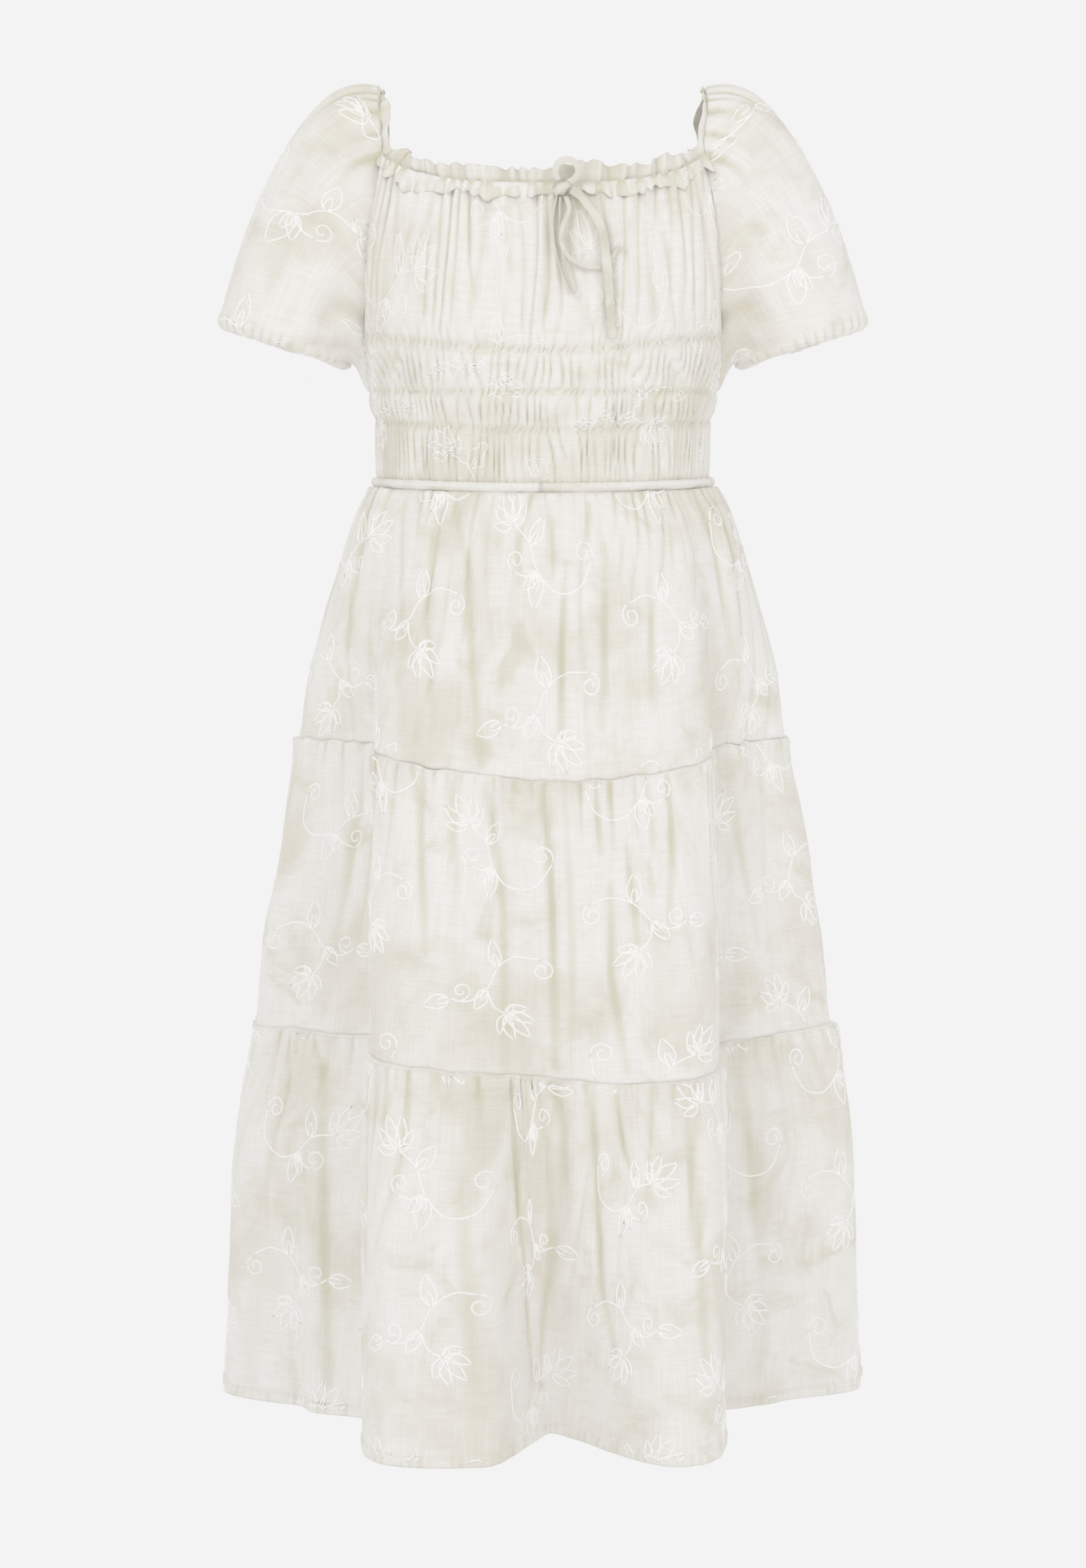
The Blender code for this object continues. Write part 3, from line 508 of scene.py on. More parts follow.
def tier_cloth(index, panel):
    """One panel of a tier: gathered under its top seam, creased, and tucked in at its seams."""
    cut, gathers = TIER_CUTS[index], TIER_GATHERS[index]
    first = -90.0 if panel == "front" else 90.0
    drops = (TIER_SEAM_1.side, TIER_SEAM_2.side, HEM_DROP)
    angles = even_angles(first, first + 180.0, cut.columns, drops[index])
    top, bottom = tier_edges(index, angles)
    shares = edge_crowded_shares(cut.rows, 2.5, 2.5 if index == 2 else 0.8)
    first_drop = top - (SEAM_LAP if index else PIPING_RADIUS - 0.001)
    last_drop = bottom + (SEAM_GAP if index < 2 else 0.0)
    drop = first_drop + (last_drop - first_drop) * shares[:, None]
    base = skirt_surface(np.broadcast_to(angles, drop.shape), drop)

    share = np.broadcast_to(even_shares(cut.columns), drop.shape)
    below = np.maximum(drop - top, 0.0)
    above = np.maximum(bottom - drop, 0.0)
    seed = 10 * index + (5 if panel == "front" else 0)
    wander = soft_noise(share * 9, below * 8, seed)
    uneven = 0.70 + 0.40 * soft_noise(share * 22, below * 10, seed + 1)
    longer = np.exp(0.55 * soft_noise(share * 30, below * 0, seed + 2))
    gathered = sum(
        weight * uneven * ridges(count * share + wandering * wander + offset)
        * np.exp(-below / (reach * longer))
        for weight, count, wandering, offset, reach in (
            (0.60, gathers.fine, 0.55, 0.0, FINE_REACH),
            (0.60, gathers.medium, 0.50, 0.3, MEDIUM_REACH),
            (0.85, gathers.broad, 0.45, 0.0, gathers.reach),
        )
    )
    start = smooth_step(below / GATHER_START)
    sides = smooth_step(np.minimum(share, 1 - share) * cut.width / SIDE_START)
    heights = gathers.height * start * sides * gathered
    trough = crease_depth(
        share * cut.width, shares[:, None] * cut.length, TIER_CREASES[(index, panel)]
    )
    limp = LIMP_HEIGHT * soft_noise(share * cut.width * 24, drop * 16, seed + 3)
    limp = limp + LIMP_FINE_HEIGHT * soft_noise(share * cut.width * 75, drop * 40, seed + 4)
    calm = smooth_step(below / CALM_BELOW_SEAM)
    if index < 2:
        calm = calm * smooth_step(above / CALM_ABOVE_SEAM)
    heights = heights + (limp - trough) * calm - TOP_TUCK * (1.0 - start)
    if index < 2:
        heights = heights - BOTTOM_TUCK * np.exp(-above / BOTTOM_TUCK_REACH)
    else:
        pucker = ridges(share * cut.width / HEM_PUCKER + 0.4 * wander)
        folded = smooth_step((HEM_DEPTH - above) / 0.001)
        heights = heights + folded * HEM_THICKER + (0.4 + 0.6 * folded) * HEM_PUCKER_HEIGHT * (
            pucker * bump(np.abs(above - HEM_DEPTH / 2), HEM_PUCKER_REACH)
        )
        stitched_in = bump(np.abs(above - HEM_DEPTH), HEM_STITCH_DIP_REACH)
        heights = heights - HEM_STITCH_DIP * stitched_in
    heights = np.where(sides < 1, heights * sides - TOP_TUCK * (1 - sides), heights)
    return lay_cloth(base, heights, shares, cut, False)


# Bodice surfaces

# Pleats and gathers across a panel. The slant and shift are in pleats, starts are shares of the
# panel's width, and the elastic's reach is in rows of the bodice's table
BODICE_PLEATS = {"front": 60, "back": 52}
SMOCKING_SLANT = 8.0
ELASTIC_SHIFT = 0.32
BODICE_GATHERS = {"front": 21, "back": 17}
PUFF_HEIGHT = 0.0031
PUFF_LEAST = 0.18
GATHER_HEIGHT = 0.0044
NECK_GATHER_HEIGHT = 0.0010
WAIST_TUCK = 0.0025
PUCKER_HEIGHT = 0.0014
ELASTIC_DIP = 0.0021
ELASTIC_REACH = 0.20
BODICE_SIDE_START = 0.03
BODICE_SIDE_TUCK = 0.0010

BODICE_CREASES = {
    "front": creases(
        (3.4, 10, (165, 15), (166, 45), (158, 76), (150, 111)),
        (2.8, 9, (192, 10), (193, 48), (204, 80)),
        (2.4, 9, (147, 15), (154, 68)),
        (3, 9, (227, 10), (235, 45), (232, 85)),
        (3.4, 10, (253, 10), (259, 66), (282, 109)),
        (2.6, 9, (301, 60), (299, 111)),
        (2.6, 10, (359, 20), (376, 81)),
        (2.6, 10, (41, 20), (25, 75)),
        (3, 10, (106, 20), (82, 66), (71, 90)),
        (2.4, 10, (342, 20), (345, 73), (348, 100)),
        (-2.4, 10, (222, 75), (227, 110)),
        (2.6, 10, (425, 10), (440, 90)),
    ),
    "back": creases(
        (3, 10, (222, 10), (226, 60), (218, 110)),
        (2.8, 10, (150, 15), (138, 100)),
        (2.4, 9, (185, 10), (188, 60)),
        (2.6, 9, (270, 10), (266, 70)),
        (3, 10, (312, 10), (330, 110)),
        (2.6, 10, (390, 10), (405, 90)),
        (2.6, 10, (75, 10), (62, 95)),
    ),
}


def bodice_section(row, share, facing):
    """Points and ways out of the bodice at row numbers and shares of the way to its side edge."""
    places = range(len(BODICE_ROWS))
    drop, side_drop, side, edge, depth = (
        curve_through(places, table_column(BODICE_ROWS, name), row)
        for name in ("drop", "side_drop", "side", "edge", "front" if facing < 0 else "back")
    )
    turn = np.radians(edge * share)
    normal = unit(np.stack([np.sin(turn) / side, facing * np.cos(turn) / depth, 0.0 * turn], -1))
    corner_rise = np.abs(share) ** NECK_RISE_POWER
    side_rise = np.sin(np.pi / 2 * share) ** 2
    rise = corner_rise + (side_rise - corner_rise) * np.clip(row, 0.0, 1.0)
    z = -(drop + (side_drop - drop) * rise)
    y = facing * (depth * np.cos(turn) + SEAM_GAP / 2)
    return np.stack([side * np.sin(turn), y, z], -1), normal


def smocked_pleats(panel, row, place, share, wander, seed):
    """Numbers the narrow pleats across a panel. They slant outwards and shift at each elastic."""
    last = len(BODICE_ROWS) - 1
    above_waist = np.clip((last + 0.5 - row) / 8, 0.0, 1.0) ** 1.6
    edge = curve_through(range(last + 1), table_column(BODICE_ROWS, "edge"), row)
    turned = share * edge / 90.0
    slant = -SMOCKING_SLANT * np.sign(turned) * np.abs(turned) ** 1.7 * above_waist
    pleat = BODICE_PLEATS[panel] * (turned + 1.0) / 2.0 + 0.6 * wander + slant
    for passed, elastic_row in enumerate(range(FIRST_ELASTIC_ROW, last, 2)):
        shift = ELASTIC_SHIFT * (1.0 + soft_noise(place * 26, row * 0, seed + 5 + passed))
        pleat = pleat + shift * smooth_step((row - elastic_row) / 0.4 + 0.5)
    return pleat


def bodice_cloth(panel):
    """A panel gathered at the neck, over the bust, and smocked between elastic rows to the waist."""
    cut = BODICE_CUTS[panel]
    facing = -1 if panel == "front" else 1
    last = len(BODICE_ROWS) - 1
    row = np.linspace(0.0, last, cut.rows)[:, None] + np.zeros(cut.columns)
    place = np.broadcast_to(even_shares(cut.columns), row.shape)
    share = 2.0 * place - 1.0
    if panel == "back":
        share = -share
    base, _ = bodice_section(row, share, facing)
    base[..., 2] -= WAIST_TUCK * smooth_step(row - last + 1.0)

    seed = 40 if panel == "front" else 50
    wander = soft_noise(place * 13, row * 0.16, seed)
    jitter = soft_noise(place * 50, row * 0.7, seed + 1)
    pleat = smocked_pleats(panel, row, place, share, wander, seed)
    narrow = ridges(pleat + 0.22 * jitter, 0.85)
    broad = ridges(BODICE_GATHERS[panel] * place + 0.8 * wander + 0.10 * jitter, 1.15)
    uneven = 0.72 + 0.28 * soft_noise(place * 75, row * 1.3, seed + 2)
    from_elastic = np.abs((row - FIRST_ELASTIC_ROW + 1.0) % 2.0 - 1.0)
    from_elastic = np.where(row > FIRST_ELASTIC_ROW - 1.0, from_elastic, 1.0)
    puffs = PUFF_LEAST + (1.0 - PUFF_LEAST) * np.sin(np.pi / 2 * from_elastic) ** 1.1
    puffs = np.where(row > FIRST_ELASTIC_ROW, puffs, np.minimum(puffs, 0.55))
    drawn = np.exp(-((from_elastic / ELASTIC_REACH) ** 2))
    smocked = smooth_step((row - 3.4) / 1.6)
    puckers = ridges(1.5 * pleat + 0.5 * jitter, 0.9) * drawn
    loose = 1.0 - smooth_step((row - 3.2) / 2.0)
    neck = np.exp(-row / 0.55)
    heights = PUFF_HEIGHT * smocked * narrow * uneven * puffs
    heights = heights + smocked * (PUCKER_HEIGHT * puckers - ELASTIC_DIP * drawn)
    heights = heights + GATHER_HEIGHT * loose * broad * (0.75 + 0.25 * uneven) * (0.55 + 0.45 * neck)
    heights = heights + NECK_GATHER_HEIGHT * neck * narrow
    sides = smooth_step(np.minimum(place, 1 - place) / BODICE_SIDE_START)
    trough = crease_depth(place * cut.width, row / last * cut.length, BODICE_CREASES[panel])
    heights = (heights - trough * loose) * sides - BODICE_SIDE_TUCK * (1 - sides)
    cloth = lay_cloth(base, heights, row[:, 0] / last, cut, False)
    # Painted shade along each elastic row, less of it on the puckers, added to the painted shade of
    # the gathers' valleys
    shadowed = smocked * drawn * (0.55 - 0.40 * puckers)
    return cloth._replace(hollow=np.clip(cloth.hollow + shadowed, 0.0, 1.0))


# Sleeve surfaces

# Troughs of a puff sleeve on its flat cut, round it from the underarm with the front first, and
# down it from the top of the shoulder
SLEEVE_CREASES = creases(
    (3.6, 18, (128, 140), (104, 154), (82, 168)),
    (3, 16, (104, 160), (86, 166), (68, 180)),
    (5, 20, (58, 230), (50, 212), (40, 190)),
    (2.4, 18, (122, 193), (110, 215), (98, 240)),
    (2.8, 10, (118, 58), (114, 93), (104, 123)),
    (2.4, 10, (130, 36), (126, 67), (124, 102)),
    (2.4, 14, (75, 262), (45, 258), (22, 240)),
    (-2, 14, (150, 243), (130, 246), (94, 250), (54, 249)),
    (2.4, 14, (182, 10), (184, 60), (178, 110)),
    (3.6, 18, (236, 134), (258, 150), (282, 166)),
    (2.8, 16, (262, 158), (276, 168), (296, 182)),
    (5, 20, (304, 232), (312, 212), (320, 192)),
    (2.6, 18, (236, 190), (250, 212), (258, 238)),
    (2.6, 10, (240, 56), (246, 90), (252, 118)),
    (2.2, 10, (228, 34), (232, 70)),
    (2.6, 14, (285, 262), (315, 256), (338, 240)),
)


# Gathers of the sleeve head: so many over the shoulder, how they wander, how high and how far down
HeadGathers = namedtuple("HeadGathers", "count wander height reach")
HEAD_GATHERS = (HeadGathers(13, 0.6, 0.0042, 0.026), HeadGathers(6, 0.5, 0.0034, 0.055))
HEAD_START = 0.004
HEAD_LIFT = 0.0006
HEAD_LIFT_REACH = 0.0030
CUFF_TURN_ROWS = 10
CUFF_SHARE = 0.94
CUFF_GATHERS = 40
CUFF_GATHER_HEIGHT = 0.0016
SLEEVE_LIMP = 0.0011


def armhole_edge(facing):
    rows = np.linspace(0.0, UNDERARM_ROW, 2 * UNDERARM_ROW + 1)
    return bodice_section(rows, np.ones(rows.shape), facing)


def shoulder_arch():
    """Points and ways out of the sleeve's neck edge, from its front corner over to the back."""
    front, back = armhole_edge(-1), armhole_edge(1)
    share = even_shares(ARCH_STEPS + 1)[:, None]
    height = np.maximum(np.sin(np.pi * share), 0.0) ** SHOULDER_ROUNDNESS
    points = front[0][0] + (back[0][0] - front[0][0]) * share
    points[:, 0] += (SHOULDER_EDGE[0] - points[:, 0]) * height[:, 0]
    points[:, 2] += (SHOULDER_EDGE[2] - points[:, 2]) * height[:, 0]
    out = front[1][0] + (back[1][0] - front[1][0]) * share
    out = out * (1 - height) + np.array(SHOULDER_SLANT) * height
    return points, unit(out)


def sleeve_ring():
    """The sleeve's first ring, over the shoulder, down the back armhole and up the front one."""
    points, out = shoulder_arch()
    back, front = armhole_edge(1), armhole_edge(-1)
    underarm = (back[0][-1:] + front[0][-1:]) / 2
    ring = np.concatenate([points, back[0][1:-1], underarm, front[0][1:-1][::-1]])
    ways = np.concatenate([out, back[1][1:-1], [[1.0, 0.0, 0.0]], front[1][1:-1][::-1]])
    return ring, ways


def cuff_angles(count):
    underarm = ARCH_STEPS + (count - ARCH_STEPS) // 2
    places = (0, ARCH_STEPS, underarm, count)
    angles = (-ARCH_CUFF_ANGLE, ARCH_CUFF_ANGLE, 180.0, 360.0 - ARCH_CUFF_ANGLE)
    return np.radians(np.interp(np.arange(count), places, angles))


def cuff_ring(angle, inward=0.0, down=0.0):
    inner = np.array([CUFF_INNER[0], 0.0, CUFF_INNER[1]])
    outer = np.array([CUFF_OUTER[0], 0.0, CUFF_OUTER[1]])
    reach = np.linalg.norm(outer - inner) / 2 - inward
    along = unit(outer - inner)
    axis = np.array([along[2], 0.0, -along[0]])
    sine, cosine = np.sin(angle)[:, None], np.cos(angle)[:, None]
    front = np.array([0.0, 1.0, 0.0])
    radial = unit(along * cosine + front * sine)
    middle = (inner + outer) / 2 + axis * down
    return middle + along * reach * cosine + front * (CUFF_HALF_DEPTH - inward) * sine, radial, axis


def sleeve_base(cut):
    """The smooth sleeve, turned under at its cuff, with its rows' shares of its length.

    Also says where each column starts: from 0 to 1 over the shoulder, and past that in the armhole.
    """
    ring, ways = sleeve_ring()
    angles = cuff_angles(len(ring))
    underarm = ARCH_STEPS + (len(ring) - ARCH_STEPS) // 2
    ring, ways, angles = (np.roll(values, -underarm, axis=0) for values in (ring, ways, angles))
    turned = np.append((angles - angles[0]) % (2 * np.pi), 2 * np.pi)
    even = np.arange(cut.columns) * 2 * np.pi / cut.columns
    where = np.interp(even, turned, np.arange(len(turned)))
    ends, radial, axis = cuff_ring(angles)
    starts = ring - ways * SEAM_LAP
    length = np.linalg.norm(ends - starts, axis=1, keepdims=True)
    leave, arrive = ways * ARMHOLE_PULL * length, (axis - radial * CUFF_INWARD) * CUFF_PULL * length
    turns = [cuff_ring(angles, turn.inward, turn.down)[0] for turn in CUFF_TURNS]
    starts, ends, leave, arrive, *turns = (
        round_curve(values, where) for values in (starts, ends, leave, arrive, *turns)
    )
    down = edge_crowded_shares(cut.rows - CUFF_TURN_ROWS, 1.2, 0.0)
    v = down[:, None, None]
    body = starts * (1 + 2 * v) * (1 - v) ** 2 + ends * v * v * (3 - 2 * v)
    body = body + leave * v * (1 - v) ** 2 - arrive * v * v * (1 - v)
    stack = np.stack([body[-2], ends, *turns])
    steps = np.linspace(1.0, len(stack) - 1.0, CUFF_TURN_ROWS + 1)[1:]
    rolled = []
    for step in steps:
        low = min(int(step), len(stack) - 2)
        before, after = stack[max(low - 1, 0)], stack[min(low + 2, len(stack) - 1)]
        rolled.append(between(before, stack[low], stack[low + 1], after, step - low))
    base = np.concatenate([body, np.stack(rolled)])
    shares = np.concatenate([down * CUFF_SHARE, CUFF_SHARE + (1 - CUFF_SHARE) * (steps - 1) / 3])
    on_arch = (where - (len(ring) - underarm)) / ARCH_STEPS
    return base, shares, np.broadcast_to(on_arch, base.shape[:2])


def sleeve_cloth(side):
    """A puff sleeve, gathered at the neck edge and drawn in by its elastic. Side is 1 or -1."""
    cut = SLEEVE_CUT
    base, shares, on_arch = sleeve_base(cut)
    fall = np.linalg.norm(np.diff(base, axis=0), axis=-1).sum(axis=0)
    fall = fall / fall.max()
    place = np.broadcast_to(np.arange(cut.columns) / cut.columns, base.shape[:2])
    turn = 2 * np.pi * place
    below = shares[:, None] * fall * cut.length
    flat_down = cut.length * (1.0 - fall) + below
    wander = ring_noise(turn, 2, 61)
    over = smooth_step((on_arch + 0.06) / 0.12) * smooth_step((1.06 - on_arch) / 0.12)
    gathered = sum(
        head.height * ridges(on_arch * head.count + head.wander * wander, 0.8)
        * np.exp(-below / head.reach)
        for head in HEAD_GATHERS
    )
    heights = over * gathered * smooth_step(below / HEAD_START)
    cuff = np.exp(-((shares[:, None] - CUFF_SHARE) / 0.03) ** 2)
    heights = heights + CUFF_GATHER_HEIGHT * cuff * ridges(place * CUFF_GATHERS + 0.8 * wander)
    heights = heights - crease_depth(place * cut.width, flat_down, SLEEVE_CREASES)
    heights = heights + SLEEVE_LIMP * ring_noise(turn, 4, 62, flat_down * 26)
    heights = heights + HEAD_LIFT * np.exp(-below / HEAD_LIFT_REACH)
    if side < 0:
        base = base[:, ::-1] * np.array([-1.0, 1.0, 1.0])
        heights, fall = heights[:, ::-1], fall[::-1]
    return lay_cloth(base, heights, shares, cut, True, fall)


# Neck frill

# Heights and spreads at the shoulders and the back are shares of those at the front
FRILL_SEAM_GAP = 0.0007
SHOULDER_FRILL_HEIGHT = 0.5
SHOULDER_FRILL_SPREAD = 0.8
BACK_FRILL_HEIGHT = 0.45
FRILL_LEAN_START = 0.55
FRILL_LEAN = (-0.85, 0.0, 0.52)
SHOULDER_FRILL_OUT = (0.52, 0.0, 0.85)
FRILL_HEADER = 0.0125
FRILL_FLOUNCE = 0.0115
FRILL_LINE_SHARE = 0.52
HEADER_WAVE = 0.0046
HEADER_RUFFLE = 0.0024
FLOUNCE_WAVE = 0.0028
FLOUNCE_RUFFLE = 0.0017
FRILL_RIPPLE = 0.0008
HEADER_OUT = 0.0012
HEADER_LEAN = 0.0026
FLOUNCE_OUT = 0.0018
FLOUNCE_FLARE = 0.0052


UP = np.array([0.0, 0.0, 1.0])


def flounce_way(rise):
    """The way that the flounce hangs under a header with this way up."""
    return -unit(0.3 * rise + 0.7 * UP)


def neck_path():
    """The neck edge, front first: points, the cloth's ways up, out and down, height and spread."""
    path = []
    for facing, pleats, side in ((-1, 30, 1), (1, 26, -1)):
        for i in range(1, pleats):
            place = side * (2.0 * i / pleats - 1.0)
            point, out = bodice_section(0.0, np.array(place), facing)
            lean = smooth_step((abs(place) - FRILL_LEAN_START) / (1.0 - FRILL_LEAN_START))
            inward = np.array([math.copysign(FRILL_LEAN[0], -place), 0.0, FRILL_LEAN[2]])
            spread = 1.0 - (1.0 - SHOULDER_FRILL_SPREAD) * smooth_step((abs(place) - 0.6) / 0.35)
            rise = unit(UP * (1.0 - lean) + inward * lean)
            height = 1.0 if facing < 0 else 1.0 - (1.0 - BACK_FRILL_HEIGHT) * lean
            path.append((*point, *rise, *out, *flounce_way(rise), height, spread))
        points, ways = shoulder_arch()
        for step in range(ARCH_STEPS + 1)[::side]:
            share = math.sin(math.pi * step / ARCH_STEPS)
            panel = -1 if ways[step][1] < 0 else 1
            panel_out = bodice_section(0.0, np.array(1.0), panel)[1]
            point = points[step] - ways[step] * (WALL / 2 + SEAM_GAP)
            out = unit(panel_out * (1.0 - share) + np.array(SHOULDER_FRILL_OUT) * share)
            mirror = np.array([side, 1.0, 1.0])
            height = 1.0 + (SHOULDER_FRILL_HEIGHT - 1.0) * share
            height *= 1.0 - (1.0 - BACK_FRILL_HEIGHT) * step / ARCH_STEPS
            rise = unit(np.array(FRILL_LEAN))
            fall = unit(ways[step] * share + flounce_way(rise) * (1.0 - share))
            lines = (point, rise, out, fall)
            spread = SHOULDER_FRILL_SPREAD * (1.0 - 0.5 * step / ARCH_STEPS)
            path.append((*np.concatenate([line * mirror for line in lines]), height, spread))
    return round_curve(path, np.arange(FRILL_CUT.columns) * len(path) / FRILL_CUT.columns)


def frill_cloth():
    """A gathered strip: its header stands above the drawn line, its lower flounce flops outwards."""
    path = neck_path()
    point, up, out, down = (path[:, k:k + 3] for k in (0, 3, 6, 9))
    height, spread = path[:, 12:13], path[:, 13:14]
    turn = (2 * np.pi * np.arange(len(path)) / len(path))[:, None]

    def uneven(waves, pace, wander, seed):
        return np.sin(waves * turn + wander * ring_noise(turn, pace, seed))

    header_wave = uneven(27, 6, 2.2, 71) * (0.8 + 0.4 * ring_noise(turn, 8, 75))
    header_ruffle = uneven(49, 7, 2.4, 76)
    header_small = uneven(83, 9, 2.6, 77)
    flounce_wave = uneven(24, 7, 2.4, 72) * (0.8 + 0.4 * ring_noise(turn, 9, 78))
    flounce_ruffle = uneven(43, 8, 2.4, 79)
    flounce_small = uneven(71, 9, 2.4, 80)
    tall = 1.0 + 0.18 * ring_noise(turn, 9, 73) + 0.10 * header_ruffle
    deep = 1.0 + 0.26 * ring_noise(turn, 8, 74) + 0.15 * flounce_ruffle
    rows, shares = [], even_shares(FRILL_CUT.rows)
    for share in shares:
        if share <= FRILL_LINE_SHARE:
            part = 1.0 - share / FRILL_LINE_SHARE
            lift = FRILL_HEADER * part * height * tall
            wave = HEADER_WAVE * header_wave + HEADER_RUFFLE * header_ruffle
            ripple = FRILL_RIPPLE * header_small * (0.4 + 0.6 * part)
            lean = part * HEADER_LEAN + wave * part**0.7 + ripple
            row = point + up * (FRILL_SEAM_GAP + lift) + out * (lean + HEADER_OUT) * spread
        else:
            part = (share - FRILL_LINE_SHARE) / (1.0 - FRILL_LINE_SHARE)
            fall = FRILL_FLOUNCE * part * height * deep
            wave = FLOUNCE_WAVE * flounce_wave + FLOUNCE_RUFFLE * flounce_ruffle
            reach = FLOUNCE_OUT + FLOUNCE_FLARE * part**0.6 + part * wave
            reach = reach + FRILL_RIPPLE * flounce_small
            row = point + down * fall + up * FRILL_SEAM_GAP + out * (reach * (0.2 + 0.8 * spread))
        rows.append(row)
    base = np.stack(rows)
    cloth = lay_cloth(base, np.zeros(base.shape[:2]), shares, FRILL_CUT, True)
    # Painted shade: darker towards sage along the gathering line and in the troughs of the waves and
    # small ripples
    line = np.exp(-(((shares - FRILL_LINE_SHARE) / 0.12) ** 2))[:, None]
    above = (shares < FRILL_LINE_SHARE)[:, None]
    waves = np.where(above, (header_wave + header_ruffle).T, (flounce_wave + flounce_ruffle).T)
    hollow = 0.55 * line + 0.40 * (0.5 - 0.4 * waves) + 0.25 * (0.5 - 0.5 * header_small.T)
    return cloth._replace(hollow=np.clip(hollow, 0, 1))


# Blender pieces

def deselect_all():
    if bpy.context.mode != "OBJECT":
        bpy.ops.object.mode_set(mode="OBJECT")
    bpy.ops.object.select_all(action="DESELECT")


def apply_modifiers(piece):
    bpy.context.view_layer.objects.active = piece
    for modifier in list(piece.modifiers):
        bpy.ops.object.modifier_apply(modifier=modifier.name)


def close_seams(piece):
    """Merges a closed cloth's first and last columns, where they meet."""
    bpy.ops.object.mode_set(mode="EDIT")
    bpy.ops.mesh.select_all(action="SELECT")
    bpy.ops.mesh.remove_doubles(threshold=0.00001)
    bpy.ops.object.mode_set(mode="OBJECT")


def add_object(name, data):
    thing = bpy.data.objects.new(name, data)
    bpy.context.scene.collection.objects.link(thing)
    return thing


def hang(piece, replaced=None):
    """Puts a piece on the dress's one body, in place of the node that it replaces."""
    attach(piece, "root")
    if replaced:
        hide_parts(replaced)


def sew(name, cloth, material, node):
    """Makes a cloth's shell from a grid, moved to its points, with its cut as its UV map."""
    rows, columns = cloth.points.shape[:2]
    points, hollow = cloth.points, cloth.hollow
    if cloth.closed_round:
        points = np.concatenate([points, points[:, :1]], axis=1)
        hollow = np.concatenate([hollow, hollow[:, :1]], axis=1)
        columns += 1
    deselect_all()
    bpy.ops.mesh.primitive_grid_add(x_subdivisions=columns - 1, y_subdivisions=rows - 1, size=2.0)
    piece = bpy.context.object
    piece.name = piece.data.name = name
    mesh = piece.data
    flat = np.empty(len(mesh.vertices) * 3)
    mesh.vertices.foreach_get("co", flat)
    flat = flat.reshape(-1, 3)
    column = np.rint((flat[:, 0] + 1) / 2 * (columns - 1)).astype(int)
    row = np.rint((1 - flat[:, 1]) / 2 * (rows - 1)).astype(int)
    mesh.vertices.foreach_set("co", points[row, column].ravel())
    corners = np.empty(len(mesh.loops), int)
    mesh.loops.foreach_get("vertex_index", corners)
    flat_down = cloth.length - (cloth.length - cloth.down[row]) * cloth.fall[column]
    places = np.stack([cloth.across[column], -flat_down], -1)
    mesh.uv_layers[0].data.foreach_set("uv", places[corners].ravel())
    # The painted shade goes onto the shell as a point attribute that its finish reads
    shade = mesh.attributes.new("hollow", "FLOAT", "POINT")
    shade.data.foreach_set("value", hollow[row, column].astype(np.float32))
    mesh.update()
    if cloth.closed_round:
        close_seams(piece)
    shell = piece.modifiers.new("shell", "SOLIDIFY")
    shell.thickness = SHELL
    shell.offset = -1.0
    apply_modifiers(piece)
    mesh.materials.clear()
    mesh.materials.append(material)
    mesh.shade_smooth()
    hang(piece, node)


def finish_mesh(name, vertices, faces, material):
    mesh = bpy.data.meshes.new(name)
    mesh.from_pydata(vertices, [], faces)
    piece = add_object(name, mesh)
    deselect_all()
    piece.select_set(True)
    bpy.context.view_layer.objects.active = piece
    bpy.ops.object.mode_set(mode="EDIT")
    bpy.ops.mesh.select_all(action="SELECT")
    bpy.ops.mesh.normals_make_consistent(inside=False)
    bpy.ops.object.mode_set(mode="OBJECT")
    mesh.materials.append(material)
    mesh.shade_smooth()
    return piece


# Embroidery: the strokes of two vines, in millimetres, drawn as smooth curves

STROKE_STEP = 3.1
TENDRIL_STEP = 2.9
TENDRIL_WOUND_IN = 0.78


def stroke(points):
    return even_points(points, STROKE_STEP, 3)


def tendril(centre, radius, start, turns, hand):
    """A spiral that winds in from its rim."""
    mean_radius = 0.62 * radius
    count = max(8, round(2 * math.pi * mean_radius * turns / TENDRIL_STEP))
    share = even_shares(count)
    turn = math.radians(start) + hand * 2 * np.pi * turns * share
    reach = radius * (1.0 - TENDRIL_WOUND_IN * share)
    return np.stack([centre[0] + reach * np.cos(turn), centre[1] + reach * np.sin(turn)], -1)


def petal(base, direction, length, width, lean=0.0):
    """A leaf's outline from its base round its pointed tip and back."""
    share = even_shares(9)
    half = width / 2 * np.sin(np.pi * share**0.85) ** 0.9
    middle = lean * np.sin(np.pi * share)
    line = np.concatenate([
        np.stack([length * share, middle + half], -1),
        np.stack([length * share, middle - half], -1)[::-1][1:],
    ])
    turn = math.radians(direction)
    across = np.array([[math.cos(turn), math.sin(turn)], [-math.sin(turn), math.cos(turn)]])
    return stroke(line @ across + np.asarray(base))


def leaf_with_vein(base, direction, size):
    return [
        petal(base, direction, size, size * 0.50),
        petal(base, direction + 3, size * 0.55, size * 0.20),
    ]


def tulip(base, direction, size):
    """A flower head: a middle petal, two pairs beside it and two small ones low down."""
    strokes = [petal(base, direction, size, size * 0.34)]
    for side in (-1, 1):
        strokes.append(petal(base, direction + side * 30, size * 0.92, size * 0.30, side * 1.5))
        strokes.append(petal(base, direction + side * 64, size * 0.72, size * 0.27, side * 2.0))
    strokes.append(petal(base, direction + 100, size * 0.42, size * 0.20))
    return strokes


